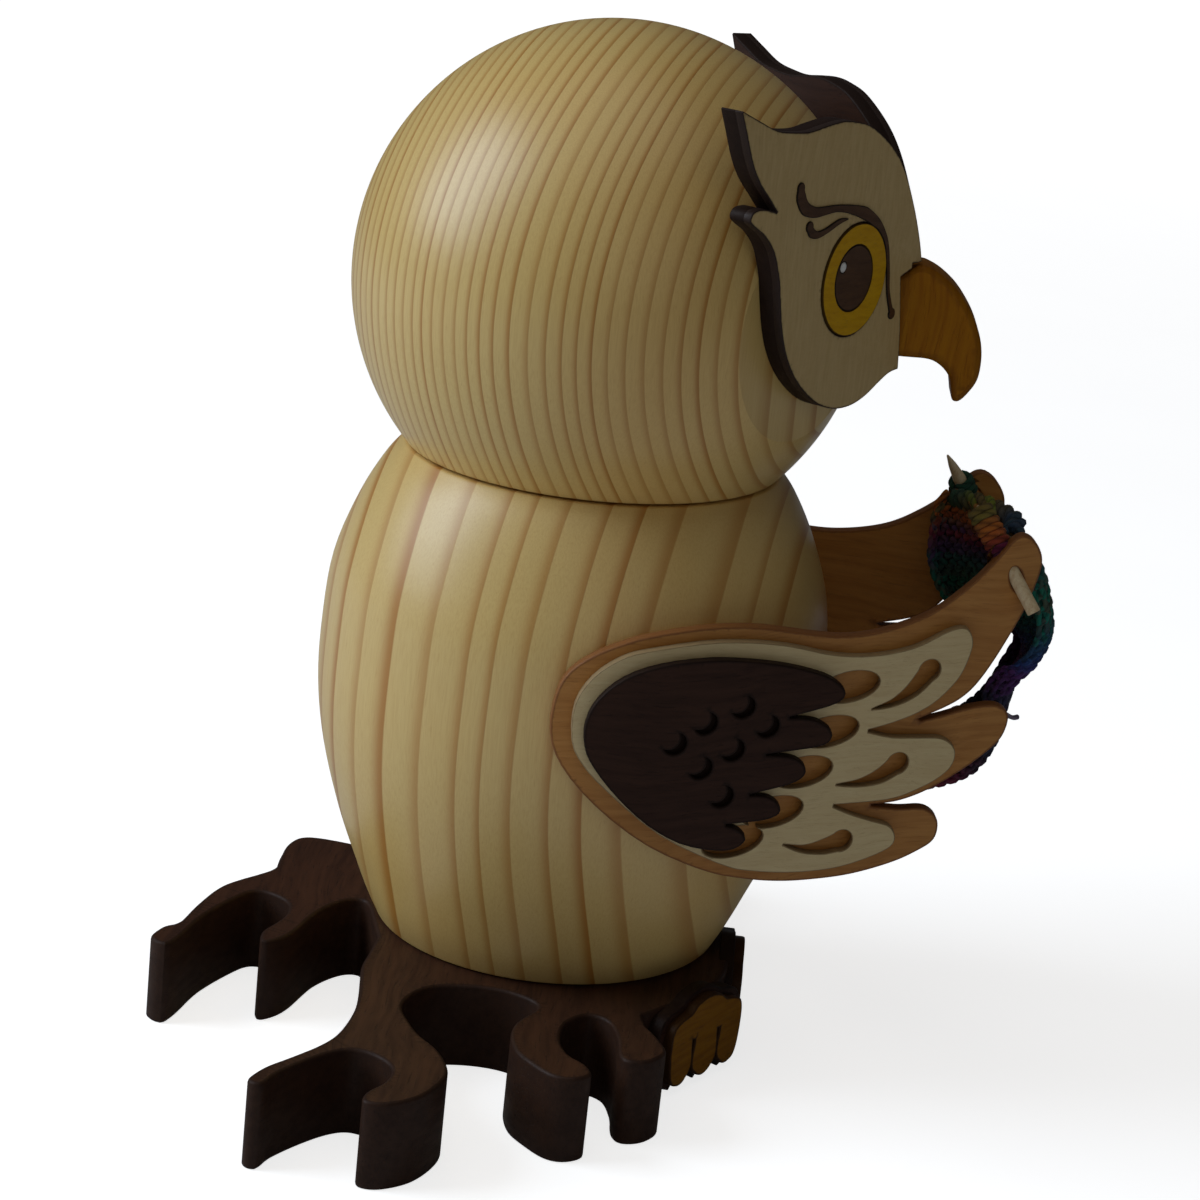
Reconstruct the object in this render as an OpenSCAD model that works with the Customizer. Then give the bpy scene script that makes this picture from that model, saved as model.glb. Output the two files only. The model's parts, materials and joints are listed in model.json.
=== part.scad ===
// Knitting owl: a turned wooden incense smoker on a branch-shaped base.
// Origin: underside of the base, below the turning axis. +Z is up and the owl faces -Y.
// "right" is the owl's own right hand, on the -X side.

/* [Base board] */
// Thickness of the branch-shaped board
board_t = 13; // [11:0.5:16]
// Radius of the turned seat that locates the body
seat_r = 19.6; // [17:0.1:19.7]
// Height of the seat above the board
seat_h = 5; // [4:0.5:8]
// Radius of the incense dish's well
dish_r = 12; // [10:0.5:14]

/* [Body] */
// Radius of the belly, the widest part of the barrel
belly_r = 37.8; // [36.5:0.1:38.5]
// Radius of the bored smoke chamber
chamber_r = 20; // [19.8:0.1:22]
// Turn of the body about the vertical axis, from facing straight ahead
body_turn = 6; // [-10:1:10]

/* [Head] */
// Radius of the head ball
head_r = 37.5; // [36.5:0.5:38]
// Height of the head ball's centre
head_z = 112.5; // [112:0.5:114]
// Height of the seam between body and head
seam_z = 86.9; // [86:0.1:87.5]
// Outer radius of the turned neck tube
neck_r = 8; // [6:0.5:9]

/* [Mask] */
// Distance from the axis to the ridge where the two mask halves meet
ridge_y = 45.2; // [44.5:0.1:46]
// Angle that each mask half swings back from straight ahead
mask_swing = 34; // [31:1:36]
// Thickness of the dark mask back
mask_back_t = 2.3; // [2:0.1:3]
// Thickness of the pale mask front
mask_front_t = 1.2; // [0.8:0.1:1.5]
// Thickness of the beak
beak_t = 7.6; // [6:0.2:8]

/* [Wings] */
// Thickness of the bent brown wing back
wing_back_t = 2; // [1.6:0.1:2.4]
// Thickness of each outer wing layer
wing_layer_t = 1.6; // [1.2:0.1:2]
// Angle along the belly at which the wing leaves it in a straight line
wing_leave = 22; // [20:1:24]
// Radius of a knitting needle
needle_r = 1; // [0.8:0.1:1.2]

/* [Hidden] */

$fn = 96;

// gap between pieces on different bodies, and radial running clearance of the neck
gap = 0.3;
running = 0.07;
// how far a cutting tool runs past the face that it cuts
past = 1;

pine = "#E4C48C";
walnut = "#4A3229";
maple = "#E2D3AE";
cherry = "#A8713F";
stain = "#C98A1E";
yellow = "#D9A90F";

// ---- curves ----------------------------------------------------------------

// point at t on the Catmull-Rom span from b to c
function span(a, b, c, d, t) =
    0.5 * (2 * b + (c - a) * t + (2 * a - 5 * b + 4 * c - d) * t * t
           + (3 * b - a - 3 * c + d) * t * t * t);

// smooth open curve through the points p, with n steps to a span
function smooth(p, n = 4) = let (last = len(p) - 1) concat(
    [for (i = [0:last - 1], k = [0:n - 1])
        span(p[max(i - 1, 0)], p[i], p[i + 1], p[min(i + 2, last)], k / n)],
    [p[last]]);

// the same curve on the other side of the Y axis, run backwards
function flipped(p) = [for (i = [len(p) - 1:-1:0]) [-p[i][0], p[i][1]]];

// unit normal on the left of the path p at point i
function side(p, i) =
    let (d = p[min(i + 1, len(p) - 1)] - p[max(i - 1, 0)]) [-d[1], d[0]] / norm(d);

// outline of a stroke along p whose half width at each point is w
function stroke(p, w) = concat(
    [for (i = [0:len(p) - 1]) p[i] + side(p, i) * w[i]],
    [for (i = [len(p) - 1:-1:0]) p[i] - side(p, i) * w[i]]);

// half widths w taken along with smooth(p, n)
function smooth_w(w, n = 4) = concat(
    [for (i = [0:len(w) - 2], k = [0:n - 1]) w[i] + (w[i + 1] - w[i]) * k / n],
    [w[len(w) - 1]]);

// ellipse with half axes a and b, tilted, as a list of points
function egg(c, a, b, tilt, n = 24) = [for (i = [0:n - 1]) let (u = 360 * i / n)
    c + [a * cos(u) * cos(tilt) - b * sin(u) * sin(tilt),
         a * cos(u) * sin(tilt) + b * sin(u) * cos(tilt)]];

// ---- placing ---------------------------------------------------------------

// pieces of the body group stand turned with the body
module body_group() {
    rotate([0, 0, body_turn]) children();
}

module both(left) {
    mirror([left ? 1 : 0, 0, 0]) children();
}

// local x runs outwards along the right mask half, y is up and z points into the head
module on_mask() {
    translate([0, -ridge_y, 0]) rotate([90, 0, 180 - mask_swing]) children();
}

// the two feet stand on neighbouring front facets of the board: the right one swung back
right_facet = [-23.25, -23.3];
right_swing = 34.6;
left_facet = [-4, -27.3];
left_swing = 0;

// local x runs to the owl's right along a foot's facet, y is up and z points into the board
module on_facet(left) {
    at = left ? left_facet : right_facet;
    translate([at[0], at[1], 0]) rotate([90, 0, 180 - (left ? left_swing : right_swing)])
        children();
}

// a (y, z) outline stood up and extruded along X, from x0 to x1
module along_x(x0, x1) {
    translate([x0, 0, 0]) rotate([90, 0, 90]) linear_extrude(x1 - x0) children();
}

// ---- base ------------------------------------------------------------------

// from the front corner round the middle fork, the side notch and the near fork
side_twigs = [
    [-32.6, -16.7], [-35.5, -17.2], [-39, -19], [-43.5, -20.5], [-47, -18.5], [-48, -15.5],
    [-46, -14], [-41, -13.5], [-36, -12], [-34.5, -9], [-38, -6], [-43.5, -5.5], [-48, -7],
    [-50.5, -9.5], [-53.5, -10.5], [-55.5, -8], [-55, -5], [-51.5, -1.5], [-48.5, 0.5],
    [-44, 1.5], [-39.5, 1], [-33.5, -1.5], [-30.2, 2.5], [-29.5, 8], [-31, 13.5],
    [-34.5, 16.5], [-39, 17.5], [-43.5, 16], [-47.5, 14], [-51.5, 11], [-57, 9],
    [-61.5, 9.5], [-66.5, 12], [-69.5, 16], [-69.3, 19], [-66.5, 19], [-63, 17],
    [-59, 16.5], [-56, 18.5], [-54.5, 22], [-56, 25], [-60, 28.5], [-64.5, 31.5],
    [-68, 33], [-67, 35], [-63, 33.5], [-59, 30.5], [-54, 27], [-49, 25],
    [-41, 24], [-32.5, 24.5], [-27, 25], [-21.5, 24.5], [-16, 24],
];
// the forked twig and the short stub behind the body
rear_twig = [
    [-16, 24], [-10, 25.5], [-4.5, 27], [-3, 28.5], [-4.5, 31], [-9.5, 34], [-18, 36.5],
    [-21.5, 38.5], [-22.5, 40.5], [-19, 41], [-15, 39.5], [-11.5, 38.5], [-7.5, 39],
    [-5, 41.5], [-4.5, 44.5], [-8, 47], [-16, 50.5], [-24.5, 52.5], [-27.5, 54],
    [-25.5, 56.5], [-21.5, 55.5], [-19, 53.5], [-11.5, 52], [-3.5, 49.5], [4.5, 43.5],
    [9, 43], [16, 42.5], [19.5, 40], [19, 33.5], [17, 28], [16, 24],
];
// rounded left front, then the corner between the feet and the end of the right facet
left_front = [[25.5, -21.2], [16, -25.2], [6, left_facet[1]]];
right_run = [cos(right_swing), -sin(right_swing)];
front_corner = right_facet
    + right_run * (right_facet[1] - left_facet[1]) / sin(right_swing);
facet_end = right_facet - right_run * 9.8;

// seat plug: a spigot glued into the board, under the seat disc
plug_r = 11;
plug_depth = 8;
well_depth = 2;

module base_board() {
    color(walnut) difference() {
        linear_extrude(board_t) polygon(concat(
            smooth(side_twigs, 3), smooth(rear_twig, 3), smooth(flipped(side_twigs), 3),
            smooth(left_front, 3), [front_corner, facet_end]));
        translate([0, 0, board_t - plug_depth]) cylinder(r = plug_r, h = plug_depth + past);
    }
}

module seat_plug() {
    top = board_t + seat_h;
    edge = 1;
    color(pine) rotate_extrude() polygon([
        [0, board_t - plug_depth], [plug_r, board_t - plug_depth], [plug_r, board_t],
        [seat_r, board_t], [seat_r, top - edge], [seat_r - edge, top],
        [dish_r, top], [dish_r, top - well_depth], [0, top - well_depth]]);
}

// pressed metal dish: lies in the well, with a rim turned out over the seat
dish_t = 0.5;
dish_rim = 3;
module incense_dish() {
    top = board_t + seat_h;
    floor_z = top - well_depth;
    color("#C8A24A") rotate_extrude() polygon([
        [0, floor_z], [dish_r, floor_z], [dish_r, top], [dish_r + dish_rim, top],
        [dish_r + dish_rim, top + dish_t], [dish_r - dish_t, top + dish_t],
        [dish_r - dish_t, floor_z + dish_t], [0, floor_z + dish_t]]);
}

// dark plate with three claws behind each foot, and the three-toed foot on it
foot_back_t = 2.2;
foot_t = 1.5;
claw_x = 6.2;
claw_z = 0.1;
foot_back_top = [
    [claw_x, claw_z], [8.6, 1.3], [10, 3.2], [10.3, 7], [10, 10.3], [8.6, 12.2], [6.3, 12.9],
    [4.6, 13.3], [3, 14.2], [0, 14.8], [-3, 14.2], [-4.6, 13.3], [-6.3, 12.9], [-8.6, 12.2],
    [-10, 10.3], [-10.3, 7], [-10, 3.2], [-8.6, 1.3], [-claw_x, claw_z],
];
// hollow between two claws, from the left claw to the next
claw_gap = [[-3, claw_z], [-1.8, 1.3], [0, 1.9], [1.8, 1.3], [3, claw_z]];
foot_top = [
    [6.2, 1.3], [7.7, 2], [8.5, 4.2], [8.8, 8.6], [8.2, 11], [6.2, 12], [4.4, 12.4],
    [2.8, 13.5], [0, 14.1], [-2.8, 13.5], [-4.4, 12.4], [-6.2, 12], [-8.2, 11], [-8.8, 8.6],
    [-8.5, 4.2], [-7.7, 2], [-6.2, 1.3],
];
toe_ends = [[-4.6, 1.7], [-3.1, 2.9], [-1.5, 1.7], [0, 1.2], [1.5, 1.7], [3.1, 2.9],
            [4.6, 1.7]];
toe_slit = [[-0.75, -1], [0.75, -1], [0.25, 7.9], [-0.25, 7.9]];
slit_x = 3.1;

function shifted(p, d) = [for (q = p) q + [d, 0]];

module foot_back(left) {
    color(walnut) on_facet(left) translate([0, 0, -foot_back_t])
        linear_extrude(foot_back_t) polygon(concat(
            smooth(foot_back_top, 3), shifted(smooth(claw_gap, 2), -slit_x),
            shifted(smooth(claw_gap, 2), slit_x)));
}

module foot(left) {
    color(stain) on_facet(left) translate([0, 0, -foot_back_t - foot_t])
        difference() {
            linear_extrude(foot_t) polygon(concat(smooth(foot_top, 3), smooth(toe_ends, 3)));
            for (x = [-slit_x, slit_x]) translate([x, 0, -past])
                linear_extrude(foot_t + 2 * past) polygon(toe_slit);
        }
}

// ---- body ------------------------------------------------------------------

body_foot_z = board_t + 0.2;
body_top_z = seam_z - gap / 2;
neck_bore_z = 73;
chamber_top_z = 64;

// barrel, as (radius, height) from the foot to the seam
barrel = [
    [26.3, body_foot_z], [28.2, 17], [30.3, 22], [33.4, 30], [36.3, 40],
    [belly_r - 0.1, 49], [belly_r, 58], [belly_r - 0.9, 68], [belly_r - 3.9, 77],
    [belly_r - 7.3, 83.5], [27.8, body_top_z],
];

module body_shell() {
    color(pine) difference() {
        rotate_extrude() polygon(concat(smooth(barrel, 5), [
            [neck_r + running, body_top_z], [neck_r + running, neck_bore_z],
            [chamber_r, chamber_top_z], [chamber_r, body_foot_z]]));
        for (left = [false, true]) dowel(left);
    }
}

// ---- wings -----------------------------------------------------------------

dowel_r = 2;
dowel_z = 55;
dowel_in = 6;
// how far round the belly the dowel stands, towards the front
dowel_turn = 18;
// how far the dowel's flat end stays inside the wing back's curved face
dowel_short = 0.2;
wing_r = belly_r + 0.1;

// glued pin that holds a wing to the barrel
module dowel(left) {
    body_group() both(left) rotate([0, 0, dowel_turn])
        translate([-wing_r + dowel_in, 0, dowel_z]) rotate([0, -90, 0])
            cylinder(r = dowel_r, h = dowel_in + wing_back_t - dowel_short);
}

module wing_dowel(left) {
    color(pine) dowel(left);
}

// sheet bent round the belly and then running straight forwards, on the right side
module bent_sheet(inner, outer) {
    low = 30;
    high = 90;
    reach = 60;
    c = cos(wing_leave);
    s = sin(wing_leave);
    translate([0, 0, low]) {
        intersection() {
            difference() {
                cylinder(r = outer, h = high - low);
                translate([0, 0, -past]) cylinder(r = inner, h = high - low + 2 * past);
            }
            linear_extrude(high - low)
                polygon([[0, 0], reach * [-c, -s], [-reach, 0], reach * [-c, s]]);
        }
        linear_extrude(high - low) polygon([
            inner * [-c, -s], outer * [-c, -s],
            outer * [-c, -s] + reach * [s, -c], inner * [-c, -s] + reach * [s, -c]]);
    }
}

// one layer of the right wing, cut to the (y, z) outline
module wing_layer(inner, thick, outline) {
    intersection() {
        bent_sheet(inner, inner + thick);
        along_x(-60, 0) polygon(outline);
    }
}

// brown back: round shoulder, then a long, a middle and a low feather
wing_back_edge = concat(
    smooth([[-43.5, 44.5], [-48, 43.8], [-52, 43.5], [-54.3, 41.5], [-54.2, 38.5],
            [-51.5, 36.7], [-47.5, 35.2], [-41.5, 34], [-35.5, 33.7], [-30.5, 33.9],
            [-25.5, 34.7], [-19.5, 36.4], [-10.5, 40.9], [-2.5, 46.8], [2.7, 52.3],
            [4.7, 57], [4.4, 62.5], [2.9, 66], [-0.2, 68.7], [-3.7, 70.5], [-7.5, 71.8],
            [-14.5, 72.9], [-22.5, 72.8], [-30.5, 71.5], [-36.5, 70.8], [-42.5, 71.5],
            [-49, 73.8], [-54.3, 77.7], [-57.7, 81.3], [-60, 84.2], [-61.8, 84.8],
            [-63.8, 83.4], [-65, 80.5], [-64.1, 76], [-62.4, 71.5], [-58.5, 64],
            [-55, 60.2], [-49, 57.6]], 3),
    smooth([[-49.4, 57.3], [-53, 58], [-57, 58.9], [-61, 59], [-63.2, 57.3], [-62.7, 54],
            [-60.3, 51.5], [-56.5, 48.8], [-51.8, 46.3], [-47.5, 45], [-43.5, 44.8]], 3));

// pale middle layer, just inside the back
wing_middle_edge = concat(
    smooth([[-37.4, 45.5], [-40.2, 44.2], [-43.7, 42.9], [-46.4, 41.9], [-47.6, 40.2],
            [-47.1, 38.6], [-44, 37.2], [-39, 36], [-33, 35.8], [-26.7, 36.5],
            [-21.7, 37.9], [-12, 43.1], [-4, 49.5], [-0.2, 53.2], [1.7, 56.6],
            [1.8, 62], [-0.3, 66.1], [-3.7, 68.9], [-7.3, 70.2], [-14.7, 71.3],
            [-21.6, 71.2], [-28, 70.3], [-34.6, 68.7], [-40.6, 68.3], [-46.6, 69.2],
            [-51.5, 71.4], [-54.2, 71.7], [-55.5, 69.7], [-55.2, 67], [-54, 64],
            [-51.3, 61], [-48.4, 59.2], [-44.7, 57.9], [-41.2, 57.1]], 3),
    smooth([[-41.2, 56.7], [-45, 55.7], [-49, 55.4], [-52.8, 55], [-55, 53.3],
            [-55.1, 51], [-53.6, 49.2], [-50.5, 47.5], [-45.8, 46.1], [-37.4, 45.9]], 3));

// dark shoulder with five finger feathers
wing_front_edge = concat(
    smooth([[-21.3, 44.6], [-23.3, 43.8], [-24.5, 42.2], [-22.8, 40.9], [-19.6, 41],
            [-14.8, 42.4], [-9.9, 45.3], [-5.3, 49.3], [-1.6, 53.5], [0, 56.5],
            [0.2, 60], [-1.2, 63.5], [-4.5, 66.7], [-9.5, 68.7], [-16.3, 69.4],
            [-24.5, 68.6], [-30.6, 67.2], [-34.6, 65.6], [-36.7, 63.4], [-35, 61.8],
            [-28.8, 60.4]], 3),
    smooth([[-28.8, 60.2], [-32.5, 59.7], [-35, 58.2], [-35.4, 56.6], [-33.5, 55.6],
            [-26, 55]], 3),
    smooth([[-26, 54.8], [-29.7, 54.3], [-31.8, 53], [-32.1, 51.4], [-30, 50.2],
            [-24.3, 49.1]], 3),
    smooth([[-24.3, 48.9], [-27, 48.5], [-28.8, 47.2], [-29, 45.8], [-26.8, 45],
            [-21.3, 44.8]], 3));

// pockets beside the finger feathers, as the (y, z) of each one's outer end
pocket_ends = [[-42, 63.8], [-39.7, 57.2], [-36.5, 51.3], [-32.8, 45.5], [-27.3, 41.4]];
pocket_a = 4.5;
pocket_b = 2.3;

// slots along the feathers, each from its point to its round end
slots = [
    [[-41.3, 60.2], [-44.4, 61], [-47.2, 62.8], [-49.4, 65.6]],
    [[-37.4, 48.95], [-40.8, 49], [-44, 49.9], [-46.4, 51.6]],
    [[-30.5, 40.3], [-33.6, 39.4], [-36.7, 39.5], [-39.3, 40.2]],
];
slot_w = [0.05, 0.55, 1.15, 1.6];
slot_end_r = 1.65;

// crescents sunk into the shoulder
crescents = [[-12.5, 57.4], [-16.6, 60.2], [-21.8, 62.3], [-16.6, 53.6], [-21, 56],
             [-25.7, 59.2], [-20.2, 49.1]];
crescent_r = 1.65;
crescent_shift = [0.85, 0.7];
crescent_depth = 1;

// needle: through the hole in the wing's tip, pointed inner end up and outer end down
tip_hole = [-17.6, -60.3, 79.7];
needle_dir = [0.35, 0.52, 0.77];
needle_out = 7.3;
needle_in = 10.2;
needle_point = 5;
hole_play = 0.05;

module on_needle() {
    len_dir = norm(needle_dir);
    translate(tip_hole)
        rotate([0, acos(needle_dir[2] / len_dir), atan2(needle_dir[1], needle_dir[0])])
            children();
}

module wing_back(left) {
    color(cherry) body_group() both(left) difference() {
        wing_layer(wing_r, wing_back_t, wing_back_edge);
        on_needle() cylinder(r = needle_r + hole_play, h = 16, center = true);
        rotate([0, 0, dowel_turn]) translate([-wing_r - wing_back_t - past, 0, dowel_z])
            rotate([0, 90, 0]) cylinder(r = dowel_r, h = wing_back_t + 2 * past);
    }
}

module wing_middle(left) {
    color(maple) body_group() both(left) difference() {
        wing_layer(wing_r + wing_back_t, wing_layer_t, wing_middle_edge);
        for (p = pocket_ends) along_x(-60, 0)
            polygon(egg(p + [pocket_a, 0], pocket_a, pocket_b, -8));
        for (p = slots) along_x(-60, 0) polygon(stroke(smooth(p), smooth_w(slot_w)));
        for (p = slots) along_x(-60, 0) translate(p[3]) circle(r = slot_end_r);
    }
}

module wing_front(left) {
    inner = wing_r + wing_back_t + wing_layer_t;
    floor_t = wing_layer_t - crescent_depth;
    color(walnut) body_group() both(left) union() {
        wing_layer(inner, floor_t, wing_front_edge);
        difference() {
            wing_layer(inner + floor_t, crescent_depth, wing_front_edge);
            for (p = crescents) difference() {
                along_x(-60, 0) translate(p) circle(r = crescent_r);
                along_x(-61, 1) translate(p + crescent_shift) circle(r = crescent_r);
            }
        }
    }
}

module needle(left) {
    color(maple) body_group() both(left) on_needle() rotate_extrude() polygon([
        [0, -needle_out], [needle_r, -needle_out], [needle_r, needle_in - needle_point],
        [0.15, needle_in], [0, needle_in]]);
}

// knitted strip: up behind the needles, over them and down in front of the wing tips
knit_path = [[-56.2, 61], [-56, 67], [-55.8, 74], [-55.7, 80], [-57.2, 84.4], [-60.2, 85.8],
             [-64, 83.2], [-67, 77.5], [-69.2, 71.5], [-69.7, 67.5], [-68.4, 63],
             [-65.7, 59.6], [-64.1, 56], [-64.4, 52], [-63.9, 48.6], [-61.7, 45.4],
             [-58.5, 43.6], [-54.5, 41.7]];
knit_half_t = 1.6;
knit_half_w = 10;
// the strip hangs turned about an upright axis in the middle of its fold
knit_turn = -9;
knit_axis_y = -62;
// first row of stitches, lying across both needles
first_row = [-57.5, 84];
first_row_r = 2.3;
first_row_half_w = 16.5;

module knitting() {
    path = smooth(knit_path, 3);
    color("#2F4A58") body_group() {
        translate([0, knit_axis_y, 0]) rotate([0, 0, knit_turn])
            translate([0, -knit_axis_y, 0]) along_x(-knit_half_w, knit_half_w)
                polygon(stroke(path, [for (p = path) knit_half_t]));
        along_x(-first_row_half_w, first_row_half_w) translate(first_row)
            circle(r = first_row_r);
    }
}

// ---- head ------------------------------------------------------------------

head_foot_z = seam_z + gap / 2;
neck_low_z = neck_bore_z + 1;
neck_high_z = 101;
smoke_r = 4.5;
smoke_top_z = 112;
mouth_r = 2.4;
mouth_z = 102.5;
tongue_y = -33;
tongue_z = [107, 119];
mask_t = mask_back_t + mask_front_t;

module head_ball() {
    color(pine) difference() {
        translate([0, 0, head_z]) sphere(r = head_r);
        translate([-50, -50, head_foot_z - 60]) cube([100, 100, 60]);
        for (left = [false, true]) both(left) on_mask()
            translate([-20, 60, -30]) cube([90, 100, 30 + mask_t]);
        translate([0, 0, head_foot_z - past])
            cylinder(r = neck_r, h = neck_high_z - head_foot_z + past);
        translate([0, 0, neck_high_z - past])
            cylinder(r = smoke_r, h = smoke_top_z - neck_high_z + past);
        translate([0, 0, mouth_z]) rotate([90, 0, 0]) cylinder(r = mouth_r, h = 50);
        translate([-beak_t / 2, tongue_y - 20, tongue_z[0]])
            cube([beak_t, 20, tongue_z[1] - tongue_z[0]]);
    }
}

module neck_tube() {
    color(pine) difference() {
        translate([0, 0, neck_low_z]) cylinder(r = neck_r, h = neck_high_z - neck_low_z);
        translate([0, 0, neck_low_z - past])
            cylinder(r = smoke_r, h = neck_high_z - neck_low_z + 2 * past);
        translate([0, 0, mouth_z]) rotate([90, 0, 0]) cylinder(r = mouth_r, h = 50);
    }
}

// mask outline on its own plane: distance out from the ridge, and height
mask_edge = concat(
    smooth([[2.2, 120.8], [3.8, 124.5], [6.5, 129.3], [10, 134.2], [14, 137.8],
            [19.9, 141], [24.6, 142.1], [28, 142.3], [31.8, 141.9], [35.5, 141.4],
            [39.2, 141.5], [43.5, 142], [47.9, 143.5], [52, 145]]),
    smooth([[52.2, 144.8], [50.6, 141.8], [48.5, 138], [46.3, 135.3], [43.6, 133],
            [41.4, 131.1]]),
    smooth([[41.5, 131], [44.5, 131.7], [46.8, 131.5], [47.4, 130.3], [46, 129.3],
            [43.6, 128], [41, 125.6], [39, 121.8], [38, 118.5], [36.8, 114.6],
            [34.8, 110.6], [31.6, 106.9], [27.3, 103.8], [23.4, 102.1], [19.8, 101.4],
            [16.2, 101.5], [12.9, 102.4], [9.6, 104], [7.2, 105], [4.9, 105.3]]),
    smooth([[4.9, 105.6], [5.8, 111.5], [7.5, 119]]));

// clears the beak and the other mask half
module mask_side_only() {
    difference() {
        children();
        translate([-beak_t / 2 - 0.1, -60, 90]) cube([40, 60, 30.7]);
        translate([-0.05, -60, 90]) cube([40, 60, 70]);
    }
}

eye_mid = [20.1, 119.9];
eye_r = 7.9;
pupil_mid = [20.5, 120.2];
pupil_r = 4.6;
glint_mid = [23.6, 122];
glint_r = 0.8;
rim = 0.1;
proud = 0.25;
brow_line = [[36.5, 133.9], [36.25, 132.7], [34.9, 131.1], [32.4, 130.35], [30, 130.35],
             [27.2, 130.45], [24.8, 130.25], [22.4, 129.85], [19.6, 129.2], [17.1, 128.1],
             [15, 126.8], [12.9, 124.4], [11.65, 120.85], [10.8, 117.5], [9.85, 115.4],
             [9, 113.9]];
brow_w = [0.7, 1, 0.95, 0.75, 0.62, 0.5, 0.55, 0.7, 0.9, 0.8, 0.6, 0.45, 0.4, 0.36, 0.4, 0.5];
brow_end_r = 0.8;
curl_line = [[33.2, 128.4], [32.6, 127.6], [31.1, 127.15], [29.1, 127.5], [27.3, 128.1],
             [25.6, 128.6], [23.8, 128.75]];
curl_w = [0.6, 0.7, 0.5, 0.42, 0.42, 0.35, 0.1];

module mask_back(left) {
    color(walnut) both(left) mask_side_only() on_mask()
        translate([0, 0, mask_front_t]) linear_extrude(mask_back_t) polygon(mask_edge);
}

module mask_front(left) {
    color(maple) both(left) mask_side_only() on_mask() difference() {
        linear_extrude(mask_front_t) polygon(mask_edge);
        translate([eye_mid[0], eye_mid[1], -past])
            cylinder(r = eye_r + rim, h = mask_front_t + 2 * past);
    }
}

// thin inlay lying on the mask's face, with a round end
module inlay(line, w, end, end_r) {
    on_mask() translate([0, 0, -proud]) {
        linear_extrude(proud) polygon(stroke(smooth(line, 3), smooth_w(w, 3)));
        translate([end[0], end[1], 0]) cylinder(r = end_r, h = proud, $fn = 32);
    }
}

module brow(left) {
    color(walnut) both(left) union() {
        inlay(brow_line, brow_w, brow_line[0], brow_end_r);
        inlay(brow_line, brow_w, brow_line[len(brow_line) - 1], brow_end_r);
    }
}

module brow_curl(left) {
    color(walnut) both(left) inlay(curl_line, curl_w, curl_line[0], brow_end_r);
}

// round inlay of the eye, standing h proud of the mask's face
module eye_disc(mid, r, h) {
    on_mask() translate([mid[0], mid[1], -h]) cylinder(r = r, h = mask_front_t + h);
}

module eye_ring(left) {
    color(yellow) both(left) difference() {
        eye_disc(eye_mid, eye_r, proud);
        eye_disc(pupil_mid, pupil_r + rim, 2 * proud);
        on_mask() translate([pupil_mid[0], pupil_mid[1], 0])
            cylinder(r = pupil_r + rim, h = 3);
    }
}

module pupil(left) {
    color(walnut) both(left) difference() {
        eye_disc(pupil_mid, pupil_r, proud);
        on_mask() translate([glint_mid[0], glint_mid[1], -past])
            cylinder(r = glint_r, h = past + 0.6);
    }
}

module eye_glint(left) {
    color("white") both(left) on_mask()
        translate([glint_mid[0], glint_mid[1], -1.4 * proud])
            cylinder(r = glint_r, h = 0.6 + 1.4 * proud);
}

// hooked beak with a tongue set in the head's slot, as a (y, z) outline
beak_edge = concat(
    [[tongue_y, tongue_z[0]], [tongue_y, tongue_z[1]]],
    smooth([[-41.3, tongue_z[1]], [-43.8, 120.4], [-45.5, 120.1], [-47.4, 119.1],
            [-49.5, 117.4], [-51.4, 115.1], [-52.8, 112.8], [-53.8, 110.2], [-54.2, 107.5],
            [-54, 104.8], [-53, 102.8], [-51.8, 101.4], [-50.8, 101.5], [-50.4, 103],
            [-49.9, 104.8], [-48.6, 106.2], [-46.8, 107], [-44, tongue_z[0]]]));

module beak() {
    color(stain) along_x(-beak_t / 2, beak_t / 2) polygon(beak_edge);
}

// ---- nodes -----------------------------------------------------------------

base_board();
foot_back(false);  // foot_back_right
foot_back(true);  // foot_back_left
foot(false);  // foot_right
foot(true);  // foot_left
seat_plug();
incense_dish();
body_shell();
wing_dowel(false);  // wing_dowel_right
wing_dowel(true);  // wing_dowel_left
wing_back(false);  // wing_back_right
wing_back(true);  // wing_back_left
wing_middle(false);  // wing_middle_right
wing_middle(true);  // wing_middle_left
wing_front(false);  // wing_front_right
wing_front(true);  // wing_front_left
needle(false);  // needle_right
needle(true);  // needle_left
knitting();
head_ball();
neck_tube();
mask_back(false);  // mask_back_right
mask_back(true);  // mask_back_left
mask_front(false);  // mask_front_right
mask_front(true);  // mask_front_left
brow(false);  // brow_right
brow(true);  // brow_left
brow_curl(false);  // brow_curl_right
brow_curl(true);  // brow_curl_left
eye_ring(false);  // eye_ring_right
eye_ring(true);  // eye_ring_left
pupil(false);  // pupil_right
pupil(true);  // pupil_left
eye_glint(false);  // eye_glint_right
eye_glint(true);  // eye_glint_left
beak();
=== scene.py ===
"""Looks of the knitting owl, a turned wooden incense smoker, in metres and the CAD frame."""

import json
import math

import bmesh
import bpy
import numpy as np
from mathutils import Matrix, Vector, geometry, kdtree, noise

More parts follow.
